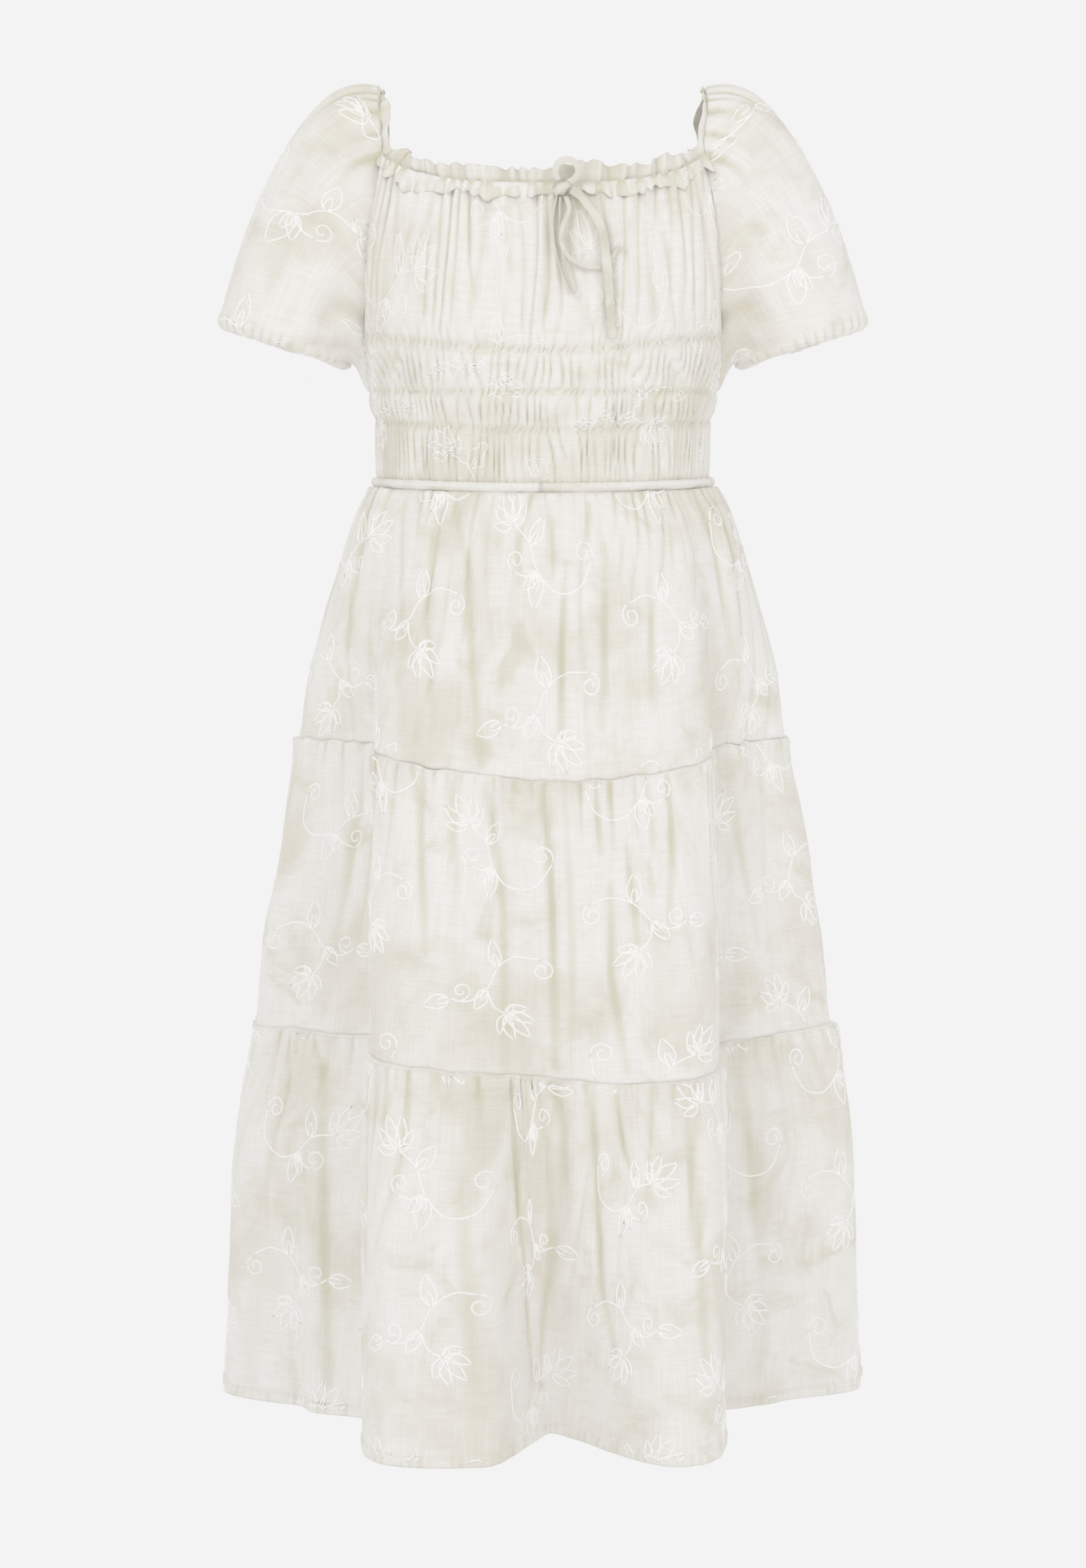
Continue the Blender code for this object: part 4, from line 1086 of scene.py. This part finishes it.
def climbing_vine():
    strokes = [
        stroke([(-46, 6), (-38, -16), (-18, -24), (2, -14), (16, 4), (34, 12)]),
        tendril((-37, 9), 9.5, 200, 1.35, -1),
        stroke([(2, -14), (12, -20), (24, -20)]),
        tendril((24, -11.5), 8.5, 270, 1.3, 1),
    ]
    strokes += tulip((34, 12), 48, 27)
    strokes += leaf_with_vein((2, -14), -96, 27)
    strokes += leaf_with_vein((2, -14), -58, 19)
    strokes += leaf_with_vein((14, 2), 112, 24)
    return strokes


def hanging_vine():
    strokes = [
        stroke([(42, 22), (24, 26), (6, 18), (-6, 2), (-22, -6), (-36, -2)]),
        tendril((41, 13), 9.0, 85, 1.4, -1),
        stroke([(-6, 2), (-2, -12), (8, -20)]),
        tendril((-27, 3.2), 8.0, 250, 1.3, 1),
    ]
    strokes += tulip((8, -20), -52, 25)
    strokes += leaf_with_vein((6, 18), 96, 24)
    strokes += leaf_with_vein((-36, -2), 196, 22)
    strokes += leaf_with_vein((-6, 2), -128, 20)
    return strokes


VINES = (climbing_vine(), hanging_vine())
EDGE_MARGIN = 0.003
# How smocking crushes the vines: from how far down the cut, in what waves and how much each way
CRUSH_STEP = 0.4
CRUSH_FROM = 0.100
CRUSH_OVER = 0.035
CRUSH_WAVE = 0.0074
CRUSH_ACROSS = 0.0018
CRUSH_DOWN = 0.0010


def vine_places(cut, start):
    """Half-drop places for the vines on a flat cut: across, down, which vine, turn, mirrored."""
    places = []
    column = -1
    while column * VINE_ACROSS < cut.width + VINE_ACROSS:
        row = -1
        while row * VINE_DOWN < cut.length + VINE_DOWN:
            across = start[0] + column * VINE_ACROSS
            down = start[1] + row * VINE_DOWN + (VINE_DOWN / 2 if column % 2 else 0.0)
            turn = (-14, 10, 4, -6)[(2 * column + row) % 4]
            places.append((across, down, (column + row) % 2, turn, (column // 2 + row) % 2 == 1))
            row += 1
        column += 1
    return places


def pick(values, rows, columns):
    """Values of a surface between its points, at row and column numbers."""
    low_row = np.clip(rows.astype(int), 0, values.shape[0] - 2)
    low_column = np.clip(columns.astype(int), 0, values.shape[1] - 2)
    r, c = (rows - low_row)[:, None], (columns - low_column)[:, None]
    top = values[low_row, low_column] * (1 - c) + values[low_row, low_column + 1] * c
    below = values[low_row + 1, low_column] * (1 - c) + values[low_row + 1, low_column + 1] * c
    return top * (1 - r) + below * r


def on_cloth(cloth, across, down):
    """Points and ways out of a cloth at places on its flat cut."""
    columns = np.interp(across, cloth.across, np.arange(len(cloth.across)))
    rows = np.interp(down, cloth.down, np.arange(len(cloth.down)))
    if cloth.closed_round:
        columns = np.minimum(columns, cloth.points.shape[1] - 1.001)
    return pick(cloth.points, rows, columns), unit(pick(cloth.normals, rows, columns))


def clipped(line, cut):
    """The stretches of a line that lie on the cut."""
    inside = (line[:, 0] > EDGE_MARGIN) & (line[:, 0] < cut.width - EDGE_MARGIN)
    inside &= (line[:, 1] > EDGE_MARGIN) & (line[:, 1] < cut.length - EDGE_MARGIN)
    edges = np.flatnonzero(np.diff(np.concatenate([[0], inside.astype(int), [0]])))
    return [line[a:b] for a, b in zip(edges[::2], edges[1::2]) if b - a > 2]


def thread(points, normals, width, height, vertices, faces):
    """Adds one raised thread along points on a surface to lists of vertices and faces."""
    along = np.gradient(points, axis=0)
    side = unit(np.cross(along, normals)) * width / 2
    first = len(vertices)
    low = points - normals * THREAD_SINK
    top = points + normals * height
    rings = np.stack([low + side, top, low - side], 1)
    vertices.extend(map(tuple, rings.reshape(-1, 3)))
    count = len(points)
    for i in range(count - 1):
        at, after = first + 3 * i, first + 3 * i + 3
        for j in range(3):
            k = (j + 1) % 3
            faces.append((at + j, at + k, after + k, after + j))
    faces.append((first, first + 1, first + 2))
    last = first + 3 * (count - 1)
    faces.append((last + 2, last + 1, last))


def crushed(line):
    """A line's places where smocking has drawn up the cloth, so that the vines fold with it."""
    steps = np.arange(0.0, len(line) - 1.0, CRUSH_STEP)
    across, down = read_between(steps, np.arange(len(line)), line).T
    drawn_up = smooth_step((down - CRUSH_FROM) / CRUSH_OVER)
    phase = 2 * np.pi * across / CRUSH_WAVE + 2.5 * soft_noise(down * 60, across * 9, 5)
    across_more = CRUSH_ACROSS * np.sin(phase)
    down_more = CRUSH_DOWN * soft_noise(across * 240, down * 80, 6)
    return np.stack([across + drawn_up * across_more, down + drawn_up * down_more], -1)


def embroider(name, cloth, cut, start, material, smocked=False):
    vertices, faces = [], []
    width = SMOCKED_THREAD_WIDTH if smocked else THREAD_WIDTH
    for across, down, vine, turn, mirrored in vine_places(cut, start):
        angle = math.radians(turn)
        cosine, sine = math.cos(angle), math.sin(angle)
        for line in VINES[vine]:
            x, y = line[:, 0] * (-1 if mirrored else 1), line[:, 1]
            placed = np.stack([
                across + 0.001 * VINE_SCALE * (x * cosine - y * sine),
                down - 0.001 * VINE_SCALE * (x * sine + y * cosine),
            ], -1)
            if smocked:
                placed = crushed(placed)
            fall = np.interp(placed[:, 0], cloth.across, cloth.fall)
            placed[:, 1] = cut.length - (cut.length - placed[:, 1]) / fall
            for run in clipped(placed, cut):
                points, normals = on_cloth(cloth, run[:, 0], run[:, 1])
                thread(points, normals, width, THREAD_HEIGHT, vertices, faces)
    hang(finish_mesh(name, vertices, faces, material))


def stitch_rows(name, lines, gap, material):
    """Running stitches along lines of points and ways out, each line given as a pair of arrays."""
    vertices, faces = [], []
    for points, normals in lines:
        lengths = lengths_along(points)
        count = int(lengths[-1] / gap)
        for i in range(count):
            where = gap * (i + np.array(STITCH_SHARES))
            at, way = (read_between(where, lengths, values) for values in (points, normals))
            thread(at, unit(way), STITCH_WIDTH, STITCH_HEIGHT, vertices, faces)
    hang(finish_mesh(name, vertices, faces, material))


# Materials

def linear(hexed):
    """An sRGB hex colour as linear red, green, blue and alpha."""
    channels = [int(hexed[i:i + 2], 16) / 255 for i in (1, 3, 5)]
    return (*[c / 12.92 if c <= 0.04045 else ((c + 0.055) / 1.055) ** 2.4 for c in channels], 1.0)


def set_inputs(tree, node, inputs):
    """Links each input that is given as a socket and sets any other."""
    for name, value in inputs.items():
        if isinstance(value, bpy.types.NodeSocket):
            tree.links.new(value, node.inputs[name])
        else:
            node.inputs[name].default_value = value


def add_node(tree, kind, inputs=None, **settings):
    """Adds a node with its inputs and settings."""
    node = tree.nodes.new(kind)
    for name, value in settings.items():
        setattr(node, name, value)
    set_inputs(tree, node, inputs or {})
    return node


def new_finish(name):
    material = bpy.data.materials.new(name)
    material.use_nodes = True
    return material, material.node_tree, material.node_tree.nodes["Principled BSDF"]


def mix_colours(tree, share, first, second, blend="MIX"):
    inputs = {0: share, 6: first, 7: second}
    return add_node(tree, "ShaderNodeMix", inputs, data_type="RGBA", blend_type=blend).outputs[2]


def combine(tree, operation, first, second):
    return add_node(
        tree, "ShaderNodeMath", {0: first, 1: second}, operation=operation
    ).outputs[0]


def relief(tree, height, strength, distance, **more):
    inputs = {"Height": height, "Strength": strength, "Distance": distance, **more}
    return add_node(tree, "ShaderNodeBump", inputs).outputs[0]


def stretched(tree, source, scale):
    return add_node(tree, "ShaderNodeMapping", {"Vector": source, "Scale": scale}).outputs[0]


def noise(tree, source, scale, detail, roughness=0.5, distortion=0.0):
    settings = {"Vector": source, "Scale": scale, "Detail": detail, "Roughness": roughness}
    settings["Distortion"] = distortion
    return add_node(tree, "ShaderNodeTexNoise", settings).outputs[0]


def ranged(tree, value, low, high):
    inputs = {0: value, 1: low, 2: high}
    return add_node(tree, "ShaderNodeMapRange", inputs, interpolation_type="SMOOTHSTEP").outputs[0]


def tie_dyed_voile(shift):
    """Slub cotton voile, woven and then tie-dyed: ivory with pale sage and sand clouds, matt, with
    painted shade in the valleys of its gathers.
    """
    material, tree, shader = new_finish(f"tie_dyed_voile_{shift}")
    flat = add_node(tree, "ShaderNodeUVMap").outputs[0]
    moved = add_node(
        tree, "ShaderNodeMapping", {"Vector": flat, "Location": (0.37 * shift, 0.21 * shift, 0.0)}
    ).outputs[0]
    clouds = ranged(tree, noise(tree, stretched(tree, moved, (1.25, 1.0, 1.0)), 7.5, 4.0, 0.55, 0.5),
                    0.46, 0.70)
    blots = ranged(tree, noise(tree, moved, 19.0, 5.0, 0.6, 0.7), 0.50, 0.74)
    sand = mix_colours(tree, clouds, linear("#F2F0ED"), linear("#E7E3D9"))
    sage = mix_colours(tree, combine(tree, "MULTIPLY", blots, 0.62), sand, linear("#DDD9C8"))
    # Threads of the weave, drawn about four times as coarse as they are so that they show
    warp = noise(tree, stretched(tree, moved, (520.0, 20.0, 1.0)), 1.0, 2.0)
    weft = noise(tree, stretched(tree, moved, (30.0, 560.0, 1.0)), 1.0, 2.0)
    weave = combine(tree, "ADD", warp, weft)
    slub = ranged(tree, weave, 0.78, 1.28)
    woven = mix_colours(tree, slub, linear("#F4F2EE"), linear("#FFFFFF"))
    toned = mix_colours(tree, 0.46, sage, woven, "MULTIPLY")
    # Painted shade: the colour darkened towards sage beige, #D0CBB0, in the valleys of the gathers,
    # by the share that each point carries
    painted_valley_shade = add_node(tree, "ShaderNodeAttribute", attribute_name="hollow").outputs["Fac"]
    colour = mix_colours(tree, combine(tree, "MULTIPLY", painted_valley_shade, 0.75), toned, linear("#D0CBB0"))
    crumple = noise(tree, stretched(tree, moved, (1.0, 0.6, 1.0)), 110.0, 3.0, 0.6)
    soft = relief(tree, crumple, 0.5, 0.0016)
    set_inputs(tree, shader, {
        "Base Color": colour,
        "Normal": relief(tree, weave, 0.30, 0.0004, Normal=soft),
        "Roughness": 0.88,
        "Specular IOR Level": 0.25,
        "Sheen Weight": 0.12,
        "Sheen Roughness": 0.6,
    })
    return material


def cotton_thread():
    """Mercerised cotton embroidery thread, twisted and bleached: white with a faint gleam."""
    material, tree, shader = new_finish("white_cotton_thread")
    place = add_node(tree, "ShaderNodeTexCoord").outputs["Object"]
    twist = noise(tree, place, 900.0, 2.0)
    colour = mix_colours(tree, twist, linear("#F9F7F4"), linear("#FEFDFB"))
    set_inputs(tree, shader, {
        "Base Color": colour,
        "Normal": relief(tree, twist, 0.4, 0.0003),
        "Roughness": 0.62,
        "Sheen Weight": 0.25,
    })
    return material


def folded_tape():
    """Narrow tape folded from the dyed voile and stitched: pale sage, matt, with a fine weave."""
    material, tree, shader = new_finish("folded_voile_tape")
    place = add_node(tree, "ShaderNodeTexCoord").outputs["Object"]
    shade = ranged(tree, noise(tree, place, 38.0, 3.0), 0.35, 0.65)
    weave = noise(tree, stretched(tree, place, (900.0, 900.0, 300.0)), 1.0, 2.0)
    base = mix_colours(tree, shade, linear("#DEDACB"), linear("#EBE8DF"))
    set_inputs(tree, shader, {
        "Base Color": mix_colours(tree, 0.12, base, weave, "MULTIPLY"),
        "Normal": relief(tree, weave, 0.4, 0.0004),
        "Roughness": 0.85,
        "Sheen Weight": 0.12,
    })
    return material


# Drawstring: the routes of the solids' tails and loops

KNOT_CENTRE = (0.0150, -0.1220, -0.0925)
KNOT_SIZE = (0.0110, 0.0100, 0.0120)
TAIL_A_ROUTE = (
    (0.0225, -0.1240, -0.0935),
    (0.0290, -0.1250, -0.0975),
    (0.0365, -0.1255, -0.1065),
    (0.0440, -0.1255, -0.1170),
    (0.0484, -0.1262, -0.1290),
    (0.0510, -0.1280, -0.1450),
    (0.0520, -0.1290, -0.1550),
    (0.0532, -0.1285, -0.1680),
    (0.0550, -0.1262, -0.1920),
    (0.0565, -0.1240, -0.2142),
)
TAIL_B_ROUTE = (
    (0.0185, -0.1225, -0.0990),
    (0.0213, -0.1245, -0.1075),
    (0.0195, -0.1278, -0.1150),
    (0.0158, -0.1312, -0.1240),
    (0.0148, -0.1330, -0.1360),
    (0.0190, -0.1337, -0.1460),
    (0.0260, -0.1325, -0.1520),
    (0.0350, -0.1290, -0.1555),
    (0.0450, -0.1258, -0.1562),
    (0.0520, -0.1240, -0.1540),
    (0.0560, -0.1232, -0.1490),
    (0.0596, -0.1215, -0.1420),
    (0.0670, -0.1192, -0.1405),
)
UPPER_LOOP_ROUTE = (
    (0.0125, -0.1255, -0.0862),
    (0.0098, -0.1265, -0.0795),
    (0.0125, -0.1265, -0.0725),
    (0.0185, -0.1265, -0.0695),
    (0.0250, -0.1265, -0.0715),
    (0.0290, -0.1260, -0.0780),
    (0.0265, -0.1250, -0.0845),
    (0.0207, -0.1240, -0.0880),
)
LOWER_LOOP_ROUTE = (
    (0.0115, -0.1215, -0.0985),
    (0.0088, -0.1240, -0.1120),
    (0.0090, -0.1272, -0.1310),
    (0.0125, -0.1292, -0.1500),
    (0.0185, -0.1300, -0.1680),
    (0.0225, -0.1302, -0.1755),
    (0.0255, -0.1302, -0.1772),
    (0.0270, -0.1302, -0.1740),
    (0.0245, -0.1300, -0.1650),
    (0.0185, -0.1292, -0.1480),
    (0.0145, -0.1272, -0.1300),
    (0.0137, -0.1240, -0.1120),
    (0.0142, -0.1215, -0.0992),
)
KNOT_WRAP_ROUTE = (
    (0.0100, -0.1195, -0.0960),
    (0.0098, -0.1250, -0.0962),
    (0.0135, -0.1282, -0.0938),
    (0.0185, -0.1275, -0.0905),
    (0.0208, -0.1235, -0.0885),
    (0.0200, -0.1195, -0.0885),
)
TAPE_STEP = 0.0016
TAPE_RIPPLE = 0.10
# A folded tape's section: shares of its half width and half thickness, round it
TAPE_SECTION = (
    (1.0, 0.0), (0.92, 0.75), (0.62, 1.0), (0.2, 0.86), (-0.2, 0.86), (-0.62, 1.0),
    (-0.92, 0.75), (-1.0, 0.0), (-0.92, -0.75), (-0.5, -0.95), (0.5, -0.95), (0.92, -0.75),
)


def make_tape(name, route, widths, thickness, facings, material, slot):
    """A folded tape along a route. Widths and facings (the way across it) change evenly along it."""
    line = even_points(route, TAPE_STEP, 4)
    share = even_shares(len(line))
    facing = read_between(share, even_shares(len(facings)), facings)
    width = np.interp(share, even_shares(len(widths)), widths)
    along = unit(np.gradient(line, axis=0))
    thick = unit(np.cross(along, facing))
    across = unit(np.cross(thick, along))
    ripple = 1.0 + TAPE_RIPPLE * np.sin(share * len(line) * 0.55) * np.sin(share * 23)
    rings = np.stack([
        line + across * (width * ripple / 2 * a)[:, None] + thick * (thickness / 2 * t)
        for a, t in TAPE_SECTION
    ], 1)
    count = len(TAPE_SECTION)
    vertices = [tuple(p) for p in rings.reshape(-1, 3)]
    faces = [
        (i * count + j, i * count + (j + 1) % count, (i + 1) * count + (j + 1) % count,
         (i + 1) * count + j)
        for i in range(len(line) - 1)
        for j in range(count)
    ]
    faces.append(tuple(range(count)))
    faces.append(tuple((len(line) - 1) * count + j for j in range(count))[::-1])
    piece = finish_mesh(name, vertices, faces, material)
    hang(piece, slot)
    return piece, line


def ring_facings(route, depth):
    """For each point of a loop's route, the tape's width, turned outwards in the loop's plane."""
    middle = [(min(axis) + max(axis)) / 2 for axis in zip(*route)]
    return [(x - middle[0], depth, z - middle[2]) for x, _, z in route]


def make_knot(material):
    """The bow's knot: tape wrapped round, so that its bands and their crease show."""
    deselect_all()
    bpy.ops.mesh.primitive_uv_sphere_add(segments=40, ring_count=24, radius=1.0)
    piece = bpy.context.object
    piece.name = piece.data.name = "bow_knot"
    for vertex in piece.data.vertices:
        x, y, z = vertex.co
        slope = z + 0.45 * x
        bands = 0.80 + 0.10 * abs(math.cos(2.6 * slope)) - 0.10 * math.exp(-(slope / 0.14) ** 2)
        vertex.co = [
            centre + size / 2 * value * bands
            for centre, size, value in zip(KNOT_CENTRE, KNOT_SIZE, (x, y, z))
        ]
    piece.data.materials.append(material)
    piece.data.shade_smooth()
    hang(piece, "drawstring_knot")


def make_bow(material):
    make_knot(material)
    make_tape("bow_knot_wrap", KNOT_WRAP_ROUTE, (0.0048, 0.0060, 0.0062, 0.0060, 0.0048), 0.0013,
              ((0.3, 0.5, -0.8), (0.75, 0.0, -0.62), (0.3, -0.5, -0.8)), material, "drawstring_knot")
    make_tape("bow_upper_loop", UPPER_LOOP_ROUTE, (0.0042, 0.0060, 0.0068, 0.0068, 0.0060), 0.0014,
              ring_facings(UPPER_LOOP_ROUTE, 0.006), material, "drawstring_loop_upper")
    make_tape("bow_lower_loop", LOWER_LOOP_ROUTE, (0.0040, 0.0042, 0.0040, 0.0042, 0.0040), 0.0013,
              ((0.25, 0.97, 0.0), (0.25, 0.97, 0.05)), material, "drawstring_loop_lower")
    tail_a, line_a = make_tape(
        "bow_tail_wide", TAIL_A_ROUTE, (0.0066, 0.0076, 0.0076, 0.0074, 0.0072), 0.0016,
        ((0.62, 0.0, 0.78), (0.86, 0.0, 0.50), (1.0, 0.05, 0.1), (0.97, 0.25, 0.0), (1.0, 0.0, 0.05)),
        material, "drawstring_tail_a")
    tail_b, line_b = make_tape(
        "bow_tail_thin", TAIL_B_ROUTE, (0.0042, 0.0038, 0.0036, 0.0036, 0.0034), 0.0016,
        ((0.9, 0.4, 0.0), (0.95, 0.3, 0.0), (0.3, 0.0, 0.95), (0.0, 0.2, 0.98), (0.3, 0.1, 0.95)),
        material, "drawstring_tail_b")


def make_piping(material):
    """A cord covered with the voile, sewn into the waist seam."""
    columns, sides = PIPING_CUT.columns, PIPING_CUT.rows
    angle = np.linspace(0.0, 360.0, columns, endpoint=False)
    flat = np.full(angle.shape, WAIST_DROP)
    middle = skirt_surface(angle, flat)
    along = unit(skirt_surface(angle + 1, flat) - skirt_surface(angle - 1, flat))
    out = np.stack([along[:, 1], -along[:, 0], 0 * angle], -1)
    middle = middle + out * PIPING_PROUD
    middle[:, 2] = -waist_drop(angle, 0.0)
    rings = []
    for side in range(sides):
        turn = 2 * math.pi * side / sides
        pull = PIPING_RADIUS * (1.0 + 0.05 * np.sin(np.radians(angle) * 67 + 2.2 * side))
        up = np.stack([0 * angle, 0 * angle, pull * math.sin(turn)], -1)
        rings.append(middle + out * (pull * math.cos(turn))[:, None] + up)
    rings = np.stack(rings, 1)
    vertices = [tuple(p) for p in rings.reshape(-1, 3)]
    faces = []
    for i in range(columns):
        for j in range(sides):
            k, after = (j + 1) % sides, (i + 1) % columns
            faces.append((i * sides + j, after * sides + j, after * sides + k, i * sides + k))
    piece = finish_mesh("waist_piping_cord", vertices, faces, material)
    uv = piece.data.uv_layers.new(name="UVMap")
    corners = np.empty(len(piece.data.loops), int)
    piece.data.loops.foreach_get("vertex_index", corners)
    across = corners // sides / columns * PIPING_CUT.width
    round_it = corners % sides / sides * PIPING_CUT.length
    uv.data.foreach_set("uv", np.stack([across, round_it], -1).ravel())
    hang(piece, "waist_piping")


def hem_line(cloth, up):
    """Points and ways out along a cloth, a distance up from its lower edge."""
    across = np.linspace(0.002, cloth.width - 0.002, 900)
    return on_cloth(cloth, across, np.full(across.shape, cloth.length - up))


def aim(thing, target):
    from_here = [target[k] - thing.location[k] for k in range(3)]
    yaw = math.atan2(-from_here[0], from_here[1])
    pitch = math.atan2(from_here[2], math.hypot(from_here[0], from_here[1]))
    thing.rotation_euler = (math.pi / 2 + pitch, 0.0, yaw)


def make_studio():
    """Pale seamless surroundings, a soft key from the upper left and a weaker fill."""
    world = bpy.data.worlds.new("pale_studio")
    bpy.context.scene.world = world
    world.use_nodes = True
    tree = world.node_tree
    way = add_node(tree, "ShaderNodeTexCoord").outputs["Generated"]
    back = add_node(tree, "ShaderNodeSeparateXYZ", {0: way}).outputs["Y"]
    pale = mix_colours(tree, ranged(tree, back, -0.75, 0.2), linear("#D4D4D4"), linear("#F3F3F3"))
    set_inputs(tree, tree.nodes["Background"], {"Color": pale})

    deselect_all()
    bpy.ops.mesh.primitive_plane_add(size=FLOOR_SIZE, location=(0.0, 0.0, -FLOOR_DROP))
    floor = bpy.context.object
    floor.name = "pale_floor"
    paper = bpy.data.materials.new("lit_paper_sweep")
    paper.use_nodes = True
    tree = paper.node_tree
    tree.nodes.remove(tree.nodes["Principled BSDF"])
    lit = add_node(tree, "ShaderNodeEmission", {"Color": linear("#F3F3F3"), "Strength": 1.0})
    set_inputs(tree, tree.nodes["Material Output"], {"Surface": lit.outputs[0]})
    floor.data.materials.append(paper)

    for name, place, size, power in (
        ("key", (-1.3, -2.9, 1.4), 1.2, 21.0),
        ("fill", (1.9, -2.8, 0.4), 1.6, 13.0),
    ):
        light = bpy.data.lights.new(name, "AREA")
        light.size = size
        light.energy = power
        lamp = add_object(name, light)
        lamp.location = place
        aim(lamp, LIGHTS_TARGET)

    camera = add_object("camera", bpy.data.cameras.new("camera"))
    camera.location = CAMERA_PLACE
    aim(camera, CAMERA_TARGET)
    camera.data.lens = CAMERA_LENS
    camera.data.sensor_width = CAMERA_SENSOR
    bpy.context.scene.camera = camera
    bpy.context.scene.view_settings.view_transform = "Standard"


def main():
    make_studio()
    thread_white, tape = cotton_thread(), folded_tape()
    make_bow(tape)
    voiles = [tie_dyed_voile(shift) for shift in range(1, 7)]
    make_piping(voiles[5])

    hem_lines = []
    for index in range(3):
        for panel in ("front", "back"):
            cloth = tier_cloth(index, panel)
            node = f"skirt_tier_{index + 1}_{panel}"
            sew(f"{node}_cloth", cloth, voiles[index], node)
            embroider(f"{node}_vines", cloth, TIER_CUTS[index], TIER_VINE_STARTS[index],
                      thread_white)
            if index == 2:
                hem_lines.append(hem_line(cloth, HEM_STITCHES_UP))
    stitch_rows("hem_stitches", hem_lines, STITCH_GAP, thread_white)

    for panel in ("front", "back"):
        cloth = bodice_cloth(panel)
        node = f"bodice_{panel}"
        sew(f"{node}_cloth", cloth, voiles[3], node)
        embroider(f"{node}_vines", cloth, BODICE_CUTS[panel], BODICE_VINE_START,
                  thread_white, smocked=True)
    for name, side in (("right", 1), ("left", -1)):
        cloth = sleeve_cloth(side)
        node = f"sleeve_{name}"
        sew(f"{node}_cloth", cloth, voiles[4], node)
        embroider(f"{node}_vines", cloth, SLEEVE_CUT, SLEEVE_VINE_STARTS[name],
                  thread_white)
    sew("neck_frill_cloth", frill_cloth(), voiles[5], "neck_frill")


main()
